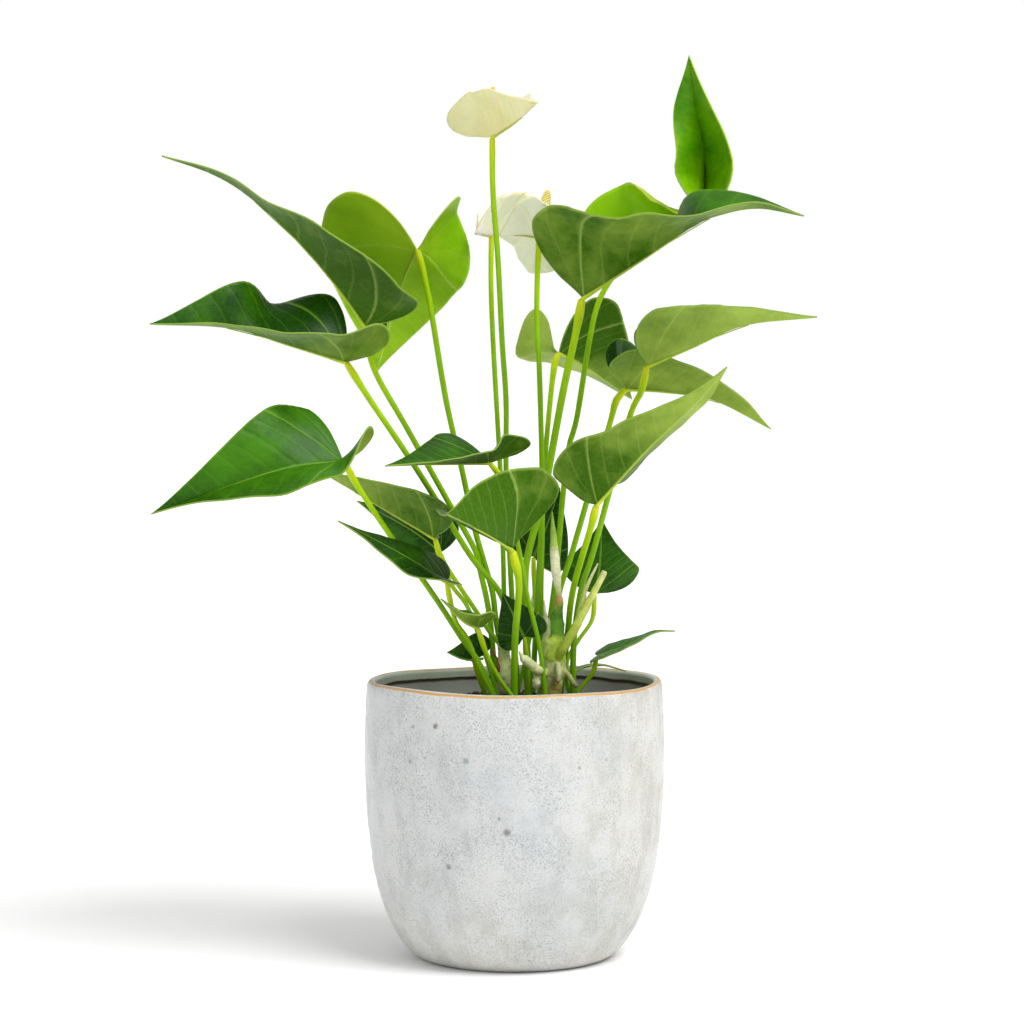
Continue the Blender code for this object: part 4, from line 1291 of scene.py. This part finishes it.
def leaf_face(name, deep, pale, vein, sunk, roughness, level, lines, glow):
    """Leaf skin: waxy cuticle over soft tissue, with veins pressed in above or raised below.

    Deep and pale are the ends of its mottling, whose pale patches are partly painted sheen, and vein is
    the colour of its ribs. Sunk is how far the veins are pressed in, level how much the wax shines,
    lines how clearly the side veins show, and glow how much light comes through the tissue.
    """
    made, tree = blank(name)
    spot = add(tree, "ShaderNodeTexCoord").outputs["Object"]
    field = add(tree, "ShaderNodeSeparateXYZ", (add(tree, "ShaderNodeUVMap", uv_map="veins"),))
    spread = add(tree, "ShaderNodeSeparateXYZ", (add(tree, "ShaderNodeUVMap", uv_map="spread"),))
    # Each point's tone is partly painted light and shade
    tone = add(tree, "ShaderNodeAttribute", attribute_name="tone").outputs["Fac"]
    # Side veins, which wander by a little and are about 0.6 mm wide
    wander = add(tree, "ShaderNodeTexNoise", {"Vector": spot, "Scale": 90.0, "Detail": 2.0})
    drift = add(tree, "ShaderNodeMath", (wander, 0.22, field.outputs["X"]), operation="MULTIPLY_ADD")
    off = add(tree, "ShaderNodeMath", (drift, 0.5), operation="PINGPONG")
    side_vein = add(
        tree, "ShaderNodeMapRange", (off, 0.015, 0.075, 1.0, 0.0), interpolation_type="SMOOTHSTEP"
    )
    # The midrib narrows from 2.4 mm at the stalk to 0.6 mm at the tip
    across = add(tree, "ShaderNodeMath", (spread.outputs["X"], 100.0), operation="MULTIPLY")
    narrow = add(tree, "ShaderNodeMapRange", (field.outputs["Y"], 0.0, 1.0, 1.2, 0.3))
    rib_off = add(tree, "ShaderNodeMath", (across, narrow), operation="DIVIDE")
    midrib = add(
        tree, "ShaderNodeMapRange", (rib_off, 0.3, 1.0, 1.0, 0.0), interpolation_type="SMOOTHSTEP"
    )
    # The first side vein of each half is nearly as strong as the midrib
    from_first = add(tree, "ShaderNodeMath", (field.outputs["X"],), operation="ABSOLUTE")
    first = add(
        tree, "ShaderNodeMapRange", (from_first, 0.02, 0.1, 0.75, 0.0), interpolation_type="SMOOTHSTEP"
    )
    main_ribs = add(tree, "ShaderNodeMath", (midrib, first), operation="MAXIMUM")
    ribs = add(
        tree, "ShaderNodeMath", (side_vein, lines, main_ribs), operation="MULTIPLY_ADD", use_clamp=True
    )
    # The net between the veins, 3 mm to a cell
    net = add(tree, "ShaderNodeTexVoronoi", {"Vector": spot, "Scale": 330.0}, feature="DISTANCE_TO_EDGE")
    mesh = add(tree, "ShaderNodeMapRange", (net.outputs["Distance"], 0.0, 0.12, 1.0, 0.0))
    # The edge vein runs 1.5 mm inside a thin pale margin
    margin = add(
        tree, "ShaderNodeMapRange", (spread.outputs["Y"], 0.955, 0.995), interpolation_type="SMOOTHSTEP"
    )
    # Mottling in clouds about 25 mm across: partly the leaf's own patchiness and partly painted sheen in
    # its pale patches. The same clouds vary the gloss.
    cloud = add(
        tree, "ShaderNodeTexNoise", {"Vector": spot, "Scale": 38.0, "Detail": 4.0, "Roughness": 0.6}
    )
    shade = add(tree, "ShaderNodeMapRange", (cloud, 0.3, 0.7, -0.06, 0.58))
    mix = add(tree, "ShaderNodeMath", (shade, tone), operation="ADD", use_clamp=True)
    body = add(tree, "ShaderNodeMix", (mix, hexed(deep), hexed(pale)), data_type="RGBA")
    netted = add(tree, "ShaderNodeMath", (mesh, 0.05), operation="MULTIPLY")
    lined = add(tree, "ShaderNodeMath", (ribs, 0.55, netted), operation="MULTIPLY_ADD", use_clamp=True)
    edged = add(tree, "ShaderNodeMath", (margin, 0.4, lined), operation="MULTIPLY_ADD", use_clamp=True)
    colour = add(tree, "ShaderNodeMix", (edged, body, hexed(vein)), data_type="RGBA")
    # The blade swells by 0.5 mm between side veins
    swell = add(tree, "ShaderNodeMapRange", (off, 0.0, 0.28), interpolation_type="SMOOTHERSTEP")
    relief = add(tree, "ShaderNodeMath", (ribs, -0.8 * sunk, swell), operation="MULTIPLY_ADD")
    big = add(tree, "ShaderNodeBump", {"Height": relief, "Strength": 0.4, "Distance": 0.35 * MM})
    grain = add(tree, "ShaderNodeTexNoise", {"Vector": spot, "Scale": 900.0, "Detail": 2.0})
    fine = add(
        tree, "ShaderNodeBump", {"Height": grain, "Normal": big, "Strength": 0.25, "Distance": 0.08 * MM}
    )
    gloss = add(tree, "ShaderNodeMapRange", (cloud, 0.0, 1.0, roughness - 0.07, roughness + 0.07))
    skin = add(
        tree,
        "ShaderNodeBsdfPrincipled",
        {
            "Base Color": colour,
            "Roughness": gloss,
            "IOR": 1.42,
            "Specular IOR Level": level,
            "Subsurface Weight": glow,
            "Subsurface Radius": (0.5, 1.0, 0.2),
            "Subsurface Scale": 1.5 * MM,
            "Normal": fine,
        },
    )
    add(tree, "ShaderNodeOutputMaterial", {"Surface": skin})
    return made


def leaf_edge(name, colour):
    """The cut edge of a blade: thin, pale and a little see-through, so lighter than both faces."""
    made, tree = blank(name)
    spot = add(tree, "ShaderNodeTexCoord").outputs["Object"]
    cloud = add(tree, "ShaderNodeTexNoise", {"Vector": spot, "Scale": 200.0})
    tint = add(tree, "ShaderNodeHueSaturation", {"Value": 0.9, "Color": hexed(colour)})
    body = add(tree, "ShaderNodeMix", (cloud, tint, hexed(colour)), data_type="RGBA")
    skin = add(
        tree,
        "ShaderNodeBsdfPrincipled",
        {"Base Color": body, "Roughness": 0.5, "Specular IOR Level": 0.3},
    )
    add(tree, "ShaderNodeOutputMaterial", {"Surface": skin})
    return made


def stalk_skin():
    """Stalk skin: smooth waxy tissue, lime in the light, yellow at the neck and darker at the foot, partly
    as painted shade low among the crowded stalks.
    """
    made, tree = blank("stalk_skin")
    spot = add(tree, "ShaderNodeTexCoord").outputs["Object"]
    stalk = add(tree, "ShaderNodeSeparateXYZ", (add(tree, "ShaderNodeUVMap", uv_map="stalk"),))
    # 0.1 of the map is 10 mm below the blade
    down = add(tree, "ShaderNodeMapRange", (stalk.outputs["X"], -0.06, 0.6))
    below = add(
        tree,
        "ShaderNodeValToRGB",
        {"Fac": down},
        stops=(
            (0.0, "AFC83C"), (0.08, "D4DC2C"), (0.16, "C6DA10"), (0.3, "AAD000"), (0.7, "96C400"),
            (1.0, "84B800"),
        ),
    )
    # Darker towards the foot: partly the stalk's own colour, partly painted shade where the stalks crowd
    # together over the mix
    foot = add(tree, "ShaderNodeMapRange", (stalk.outputs["Y"], 0.15, 0.9, 0.7, 0.0))
    body = add(tree, "ShaderNodeMix", (foot, below, hexed("5C9804")), data_type="RGBA")
    # Long streaks, 0.8 mm apart and 20 mm long
    streak_place = add(tree, "ShaderNodeMapping", {"Vector": spot, "Scale": (1.0, 1.0, 0.05)})
    streak = add(tree, "ShaderNodeTexNoise", {"Vector": streak_place, "Scale": 1200.0, "Detail": 3.0})
    cloud = add(tree, "ShaderNodeTexNoise", {"Vector": spot, "Scale": 60.0, "Detail": 3.0})
    light = add(tree, "ShaderNodeMapRange", (streak, 0.0, 1.0, 0.78, 1.22))
    patch = add(tree, "ShaderNodeMapRange", (cloud, 0.0, 1.0, 0.8, 1.2))
    value = add(tree, "ShaderNodeMath", (light, patch), operation="MULTIPLY")
    colour = add(tree, "ShaderNodeHueSaturation", {"Value": value, "Color": body})
    bump = add(tree, "ShaderNodeBump", {"Height": streak, "Strength": 0.3, "Distance": 0.15 * MM})
    skin = add(
        tree,
        "ShaderNodeBsdfPrincipled",
        {
            "Base Color": colour,
            "Roughness": 0.42,
            "IOR": 1.42,
            "Specular IOR Level": 0.22,
            "Normal": bump,
        },
    )
    add(tree, "ShaderNodeOutputMaterial", {"Surface": skin})
    return made


def crown_skin():
    """Crown: corky pale tissue with ring scars, green on its fresh shoots and brown where it is dry."""
    made, tree = blank("crown_skin")
    spot = add(tree, "ShaderNodeTexCoord").outputs["Object"]
    tint = add(tree, "ShaderNodeAttribute", attribute_name="tint").outputs["Color"]
    cork = add(
        tree, "ShaderNodeTexNoise", {"Vector": spot, "Scale": 220.0, "Detail": 4.0, "Roughness": 0.65}
    )
    spread = add(tree, "ShaderNodeMapRange", (cork, 0.3, 0.7, 0.72, 1.2))
    colour = add(tree, "ShaderNodeHueSaturation", {"Value": spread, "Color": tint})
    scars = add(
        tree, "ShaderNodeTexWave", {"Vector": spot, "Scale": 40.0, "Distortion": 3.0}, bands_direction="Z"
    )
    height = add(tree, "ShaderNodeMath", (scars.outputs["Fac"], 0.5, cork), operation="MULTIPLY_ADD")
    bump = add(tree, "ShaderNodeBump", {"Height": height, "Strength": 0.5, "Distance": 0.5 * MM})
    skin = add(
        tree,
        "ShaderNodeBsdfPrincipled",
        {"Base Color": colour, "Roughness": 0.6, "Specular IOR Level": 0.3, "Normal": bump},
    )
    add(tree, "ShaderNodeOutputMaterial", {"Surface": skin})
    return made


def spadix_skin():
    """Spadix: waxy pale yellow florets, with painted shade in the creases between them."""
    made, tree = blank("spadix_skin")
    spot = add(tree, "ShaderNodeTexCoord").outputs["Object"]
    cloud = add(tree, "ShaderNodeTexNoise", {"Vector": spot, "Scale": 400.0, "Detail": 3.0})
    # Painted shade: the creases between florets are darkened by how closed-in they are
    floret_occlusion = add(tree, "ShaderNodeAmbientOcclusion", {"Distance": 0.8 * MM}, samples=6, only_local=True)
    painted_crease_shade = add(tree, "ShaderNodeMapRange", (floret_occlusion.outputs["AO"], 0.35, 0.95))
    body = add(tree, "ShaderNodeMix", (painted_crease_shade, hexed("C9B24A"), hexed("F8EE9C")), data_type="RGBA")
    colour = add(tree, "ShaderNodeMix", (cloud, body, hexed("F2DF78")), data_type="RGBA")
    bump = add(tree, "ShaderNodeBump", {"Height": cloud, "Strength": 0.2, "Distance": 0.1 * MM})
    skin = add(
        tree,
        "ShaderNodeBsdfPrincipled",
        {"Base Color": colour, "Roughness": 0.5, "Specular IOR Level": 0.35, "Normal": bump},
    )
    add(tree, "ShaderNodeOutputMaterial", {"Surface": skin})
    return made


def bark_mix():
    """Potting mix: moist peat, near black, under red-brown bark chips with paler broken faces."""
    made, tree = blank("bark_mix")
    spot = add(tree, "ShaderNodeTexCoord").outputs["Object"]
    chip = add(tree, "ShaderNodeAttribute", attribute_name="chip").outputs["Fac"]
    wood = add(
        tree,
        "ShaderNodeValToRGB",
        {"Fac": chip},
        stops=((0.0, "2A211B"), (0.35, "4A3122"), (0.6, "6B4026"), (0.85, "86572F"), (1.0, "9B8050")),
    )
    fibre_place = add(tree, "ShaderNodeMapping", {"Vector": spot, "Scale": (1.0, 0.25, 1.0)})
    fibre = add(
        tree,
        "ShaderNodeTexNoise",
        {"Vector": fibre_place, "Scale": 900.0, "Detail": 4.0, "Roughness": 0.7},
    )
    dark = add(tree, "ShaderNodeMapRange", (fibre, 0.3, 0.7, 0.55, 1.3))
    colour = add(tree, "ShaderNodeHueSaturation", {"Value": dark, "Color": wood})
    bump = add(tree, "ShaderNodeBump", {"Height": fibre, "Strength": 0.7, "Distance": 0.5 * MM})
    skin = add(
        tree,
        "ShaderNodeBsdfPrincipled",
        {"Base Color": colour, "Roughness": 0.85, "Specular IOR Level": 0.25, "Normal": bump},
    )
    add(tree, "ShaderNodeOutputMaterial", {"Surface": skin})
    return made


def speckled_glaze(rim_at, marks):
    """Reactive stoneware glaze: milky white over a grey body, which shows through as fine speckle.

    The glaze pulls off the outer edge of the rim, so the clay there shows as a line of ochre.
    Inside, it is a greyer green for a few millimetres, then a thin dark band of painted shadow, and grey
    below it. Rim_at is how far along the wall's map the rim's crest is. Marks are (place, radius, colour)
    of burnt spots.
    """
    made, tree = blank("speckled_glaze")
    spot = add(tree, "ShaderNodeTexCoord").outputs["Object"]
    wall = add(tree, "ShaderNodeSeparateXYZ", (add(tree, "ShaderNodeUVMap", uv_map="wall"),))
    # Specks of 0.4 mm, 0.8 mm apart, each as dark as its cell says
    cells = add(tree, "ShaderNodeTexVoronoi", {"Vector": spot, "Scale": 1250.0, "Randomness": 1.0})
    dot = add(tree, "ShaderNodeMapRange", (cells.outputs["Distance"], 0.12, 0.5, 1.0, 0.0))
    pick = add(tree, "ShaderNodeSeparateColor", {"Color": cells.outputs["Color"]})
    dark = add(tree, "ShaderNodeMapRange", (pick.outputs["Red"], -0.1, 0.9))
    speck = add(tree, "ShaderNodeMath", (dot, dark), operation="MULTIPLY")
    # The specks crowd together in clouds of 20 mm
    crowd = add(
        tree, "ShaderNodeTexNoise", {"Vector": spot, "Scale": 48.0, "Detail": 4.0, "Roughness": 0.6}
    )
    dense = add(tree, "ShaderNodeMapRange", (crowd, 0.35, 0.65, 0.3))
    speckle = add(tree, "ShaderNodeMath", (speck, dense), operation="MULTIPLY")
    grit = add(
        tree, "ShaderNodeTexNoise", {"Vector": spot, "Scale": 800.0, "Detail": 2.0, "Roughness": 0.7}
    )
    fleck = add(tree, "ShaderNodeMapRange", (grit, 0.5, 0.72, 0.0, 0.5))
    flecked = add(
        tree, "ShaderNodeMath", (fleck, dense, speckle), operation="MULTIPLY_ADD", use_clamp=True
    )
    # Milky runs and clouds, 10 and 40 mm across
    run_place = add(tree, "ShaderNodeMapping", {"Vector": spot, "Scale": (1.0, 1.0, 0.6)})
    cloud = add(
        tree, "ShaderNodeTexNoise", {"Vector": run_place, "Scale": 75.0, "Detail": 5.0, "Roughness": 0.68}
    )
    thin = add(tree, "ShaderNodeMapRange", (cloud, 0.45, 0.78))
    wide = add(tree, "ShaderNodeTexNoise", {"Vector": spot, "Scale": 19.0, "Detail": 3.0})
    cool = add(tree, "ShaderNodeMapRange", (wide, 0.45, 0.68))
    low = add(tree, "ShaderNodeSeparateXYZ", (spot,))
    # Beige gathers towards the foot. On the right of the front it is partly the glaze's own beige and
    # partly painted shade, which darkens the side that the light falls on.
    sink = add(tree, "ShaderNodeMapRange", (low.outputs["Z"], 0.0, 60 * MM, 0.55, 0.0))
    aside = add(tree, "ShaderNodeMapRange", (low.outputs["X"], 10 * MM, 75 * MM, 0.0, 0.7))
    foot_beige_and_side_shade = add(tree, "ShaderNodeMath", (sink, aside), operation="ADD")
    patch = add(tree, "ShaderNodeMapRange", (cloud, 0.3, 0.6))
    beige_and_painted_shade = add(tree, "ShaderNodeMath", (foot_beige_and_side_shade, patch), operation="MULTIPLY", use_clamp=True)
    base = add(tree, "ShaderNodeMix", (beige_and_painted_shade, hexed("D5D6D5"), hexed("CBC5B4")), data_type="RGBA")
    blue = add(tree, "ShaderNodeMath", (cool, 0.45), operation="MULTIPLY")
    cooled = add(tree, "ShaderNodeMix", (blue, base, hexed("BAC1C4")), data_type="RGBA")
    grey = add(tree, "ShaderNodeMath", (thin, 0.5), operation="MULTIPLY")
    clouded = add(tree, "ShaderNodeMix", (grey, cooled, hexed("A4A7A8")), data_type="RGBA")
    outer = add(tree, "ShaderNodeMix", (flecked, clouded, hexed("7F8385")), data_type="RGBA")
    # Burnt spots, with edges as ragged as the grit
    for place, radius, colour in marks:
        away = add(tree, "ShaderNodeVectorMath", (spot, place), operation="DISTANCE").outputs["Value"]
        rough = add(tree, "ShaderNodeMath", (grit, radius * 1.4, away), operation="MULTIPLY_ADD")
        burnt = add(
            tree,
            "ShaderNodeMapRange",
            (rough, radius * 1.1, radius * 2.2, 0.85, 0.0),
            interpolation_type="SMOOTHSTEP",
        )
        outer = add(tree, "ShaderNodeMix", (burnt, outer, hexed(colour)), data_type="RGBA")
    # From here the map's way along the wall counts: 0.01 is 1 mm
    wobble = add(tree, "ShaderNodeTexNoise", {"Vector": spot, "Scale": 70.0, "Detail": 4.0})
    slip = add(tree, "ShaderNodeMapRange", (wobble, 0.3, 0.7, -0.003, 0.003))
    past = add(tree, "ShaderNodeMath", (wall.outputs["Y"], rim_at), operation="SUBTRACT")
    past = add(tree, "ShaderNodeMath", (past, slip), operation="ADD")
    # Down the inside: pale glaze, a greyer green band, a thin dark band of painted shadow about 7 to 8.5 mm
    # down, then grey
    inner = add(
        tree,
        "ShaderNodeValToRGB",
        {"Fac": add(tree, "ShaderNodeMapRange", (past, 0.0, 0.2))},
        stops=(
            (0.0, "D4D6D6"), (0.07, "D4D6D4"), (0.12, "C6CDC0"), (0.33, "C2C9BC"), (0.36, "3A2A1C"),
            (0.42, "46382C"), (0.48, "B4B6B2"), (1.0, "D0D2D0"),
        ),
    )
    inner_dots = add(tree, "ShaderNodeMath", (speckle, 0.5), operation="MULTIPLY")
    inner_wall = add(tree, "ShaderNodeMix", (inner_dots, inner, hexed("5C5F5A")), data_type="RGBA")
    inside = add(tree, "ShaderNodeMapRange", (past, 0.0, 0.01))
    walls = add(tree, "ShaderNodeMix", (inside, outer, inner_wall), data_type="RGBA")
    # The bare line is 1.5 mm wide. In front it runs 1.8 mm down the outside, and behind 1.4 mm down
    # the inside.
    lean = add(tree, "ShaderNodeMapRange", (low.outputs["Y"], -60 * MM, 60 * MM, 0.018, -0.014))
    off_edge = add(tree, "ShaderNodeMath", (past, lean), operation="ADD")
    from_line = add(tree, "ShaderNodeMath", (off_edge,), operation="ABSOLUTE")
    bare = add(
        tree,
        "ShaderNodeMapRange",
        (from_line, 0.0055, 0.0095, 0.95, 0.0),
        interpolation_type="SMOOTHSTEP",
    )
    # Brown streaks run down from the rim for 4 mm, where the glaze is thin
    below = add(tree, "ShaderNodeMapRange", (past, -0.08, -0.04))
    streak_place = add(tree, "ShaderNodeMapping", {"Vector": spot, "Scale": (1.0, 1.0, 0.3)})
    streaks = add(tree, "ShaderNodeTexNoise", {"Vector": streak_place, "Scale": 110.0, "Detail": 4.0})
    streak = add(tree, "ShaderNodeMapRange", (streaks, 0.52, 0.68, 0.0, 0.4))
    near_rim = add(tree, "ShaderNodeMath", (below, streak), operation="MULTIPLY")
    outside = add(tree, "ShaderNodeMath", (1.0, inside), operation="SUBTRACT")
    stained = add(tree, "ShaderNodeMath", (near_rim, outside), operation="MULTIPLY")
    streaked = add(tree, "ShaderNodeMix", (stained, walls, hexed("96826C")), data_type="RGBA")
    rimmed = add(tree, "ShaderNodeMix", (bare, streaked, hexed("C9994E")), data_type="RGBA")
    depth = add(tree, "ShaderNodeMath", (grit, 0.25, cloud), operation="MULTIPLY_ADD")
    relief = add(tree, "ShaderNodeMath", (speckle, -0.3, depth), operation="MULTIPLY_ADD")
    bump = add(tree, "ShaderNodeBump", {"Height": relief, "Strength": 0.4, "Distance": 0.6 * MM})
    matt = add(tree, "ShaderNodeMapRange", (thin, 0.0, 1.0, 0.3, 0.55))
    skin = add(
        tree,
        "ShaderNodeBsdfPrincipled",
        {"Base Color": rimmed, "Roughness": matt, "IOR": 1.5, "Specular IOR Level": 0.45, "Normal": bump},
    )
    add(tree, "ShaderNodeOutputMaterial", {"Surface": skin})
    return made


def floor_finish():
    """A plain pale studio floor."""
    made, tree = blank("studio_floor")
    spot = add(tree, "ShaderNodeTexCoord").outputs["Object"]
    cloud = add(tree, "ShaderNodeTexNoise", {"Vector": spot, "Scale": 3.0})
    body = add(tree, "ShaderNodeMix", (cloud, hexed("FBFBFB"), hexed("FDFDFD")), data_type="RGBA")
    skin = add(
        tree,
        "ShaderNodeBsdfPrincipled",
        {"Base Color": body, "Roughness": 0.9, "Specular IOR Level": 0.1},
    )
    add(tree, "ShaderNodeOutputMaterial", {"Surface": skin})
    return made


# Leaf: the upper face is dark and glossy, the underside pale and matt
LEAF_FACES = [
    leaf_face(
        "leaf_above", "103C00", "4A8C08", "86B434",
        sunk=1.0, roughness=0.36, level=0.2, lines=0.16, glow=0.1,
    ),
    leaf_face(
        "leaf_below", "3C6608", "A2BC4C", "B2CC66",
        sunk=-0.6, roughness=0.48, level=0.08, lines=0.2, glow=0.15,
    ),
    leaf_edge("leaf_edge", "86A63C"),
]
# Young leaves are a paler lime. Their brightest yellow-green is partly painted light: the glow of light
# coming through them from behind.
YOUNG_FACES = [
    leaf_face(
        "young_leaf_above", "2F7E00", "9AD000", "A8D03C",
        sunk=1.0, roughness=0.36, level=0.2, lines=0.16, glow=0.45,
    ),
    leaf_face(
        "young_leaf_below", "80B400", "B8D62A", "CDE266",
        sunk=-0.6, roughness=0.48, level=0.12, lines=0.12, glow=0.6,
    ),
    leaf_edge("young_leaf_edge", "B9D44C"),
]
SPATHE_FACES = [
    leaf_face(
        "spathe_above", "F0E9CE", "FDFAF0", "E9E6BE",
        sunk=0.5, roughness=0.42, level=0.25, lines=0.12, glow=0.65,
    ),
    leaf_face(
        "spathe_below", "E6DCA4", "FBF8E6", "E3E0A4",
        sunk=-0.4, roughness=0.48, level=0.2, lines=0.12, glow=0.65,
    ),
    leaf_edge("spathe_edge", "EEE9B8"),
]
STALK = stalk_skin()
CROWN = crown_skin()
SPADIX = spadix_skin()
BARK = bark_mix()

for name, leaf in LEAVES.items():
    blade = Blade(leaf)
    young = leaf.get("young", False)
    faces = YOUNG_FACES if young else LEAF_FACES
    tone = TONES_WITH_PAINTED_LIGHT.get(name, NO_TONE)
    stand_in(blade_object(f"{name}_blade", blade, faces, tone), f"leaf_{name}")
    stand_in(Stalk(leaf, blade).build(f"{name}_stalk", STALK), f"petiole_{name}")
florets = floret_tree(SPADIX)
for name, bloom in BLOOMS.items():
    blade = Blade(bloom, round_tip=SPATHE_ROUND_TIP)
    bract = blade_object(f"{name}_bract", blade, SPATHE_FACES, TONES_WITH_PAINTED_LIGHT[name], SPATHE)
    stand_in(bract, f"spathe_{name}")
    stand_in(Stalk(bloom, blade, neck=1.1).build(f"{name}_stem", STALK), f"peduncle_{name}")
    stand_in(make_spadix(f"{name}_spike", bloom, SPADIX, florets), f"spadix_{name}")
stand_in(make_crown(CROWN), "crown")

bark = bark_tree(BARK)
area = math.pi * ((pot_radius(MIX_LEVEL) - POT_WALL) * MM) ** 2
mix = grown(
    make_mix(BARK),
    bark,
    Density=BARK_PIECES / area,
    Smallest=BARK_SMALLEST * MM,
    Largest=BARK_LARGEST * MM,
    Level=(MIX_LEVEL - TOP_LAYER) * MM,
    Seed=BARK_SEED,
)
stand_in(mix, "potting_mix")

profile = pot_profile()
GLAZE = speckled_glaze(rim_place(profile), burnt_marks())
stand_in(turned("pot_body", profile, POT_SIDES, [GLAZE], pot_wall), "pot")

floor = bpy.data.meshes.new("floor")
corners = [(x * FLOOR_REACH, y * FLOOR_REACH, 0) for x, y in ((-1, -1), (1, -1), (1, 1), (-1, 1))]
floor.from_pydata(corners, [], [(0, 1, 2, 3)])
new_object("floor", floor, [floor_finish()])

# Plain white surroundings, and one wide soft light from in front, to the right and above
world = bpy.data.worlds.new("studio")
bpy.context.scene.world = world
world.use_nodes = True
sky = world.node_tree
sky.nodes.clear()
white = add(sky, "ShaderNodeBackground", {"Color": hexed("FFFFFF"), "Strength": 1.0})
soft = add(sky, "ShaderNodeBackground", {"Color": hexed("FFFFFF"), "Strength": SOFT_LIGHT})
first = add(sky, "ShaderNodeLightPath").outputs["Is Camera Ray"]
add(sky, "ShaderNodeOutputWorld", {"Surface": add(sky, "ShaderNodeMixShader", (first, soft, white))})
lamp = bpy.data.lights.new("soft_light", "SUN")
lamp.angle = SUN_WIDTH
lamp.energy = KEY_LIGHT
light = bpy.data.objects.new("soft_light", lamp)
bpy.context.scene.collection.objects.link(light)
light.location = SUN_PLACE
light.rotation_euler = (-light.location).to_track_quat("-Z", "Y").to_euler()

view = bpy.data.cameras.new("camera")
view.sensor_width = SENSOR
view.lens = EYE_REACH * SENSOR / FRAME_SIZE
camera = bpy.data.objects.new("camera", view)
bpy.context.scene.collection.objects.link(camera)
camera.location = Vector((EYE_ASIDE, -EYE_DISTANCE, EYE_HEIGHT)) * MM
camera.rotation_euler = (math.pi / 2 - EYE_PITCH, 0, 0)
bpy.context.scene.camera = camera
bpy.context.scene.view_settings.view_transform = "Standard"
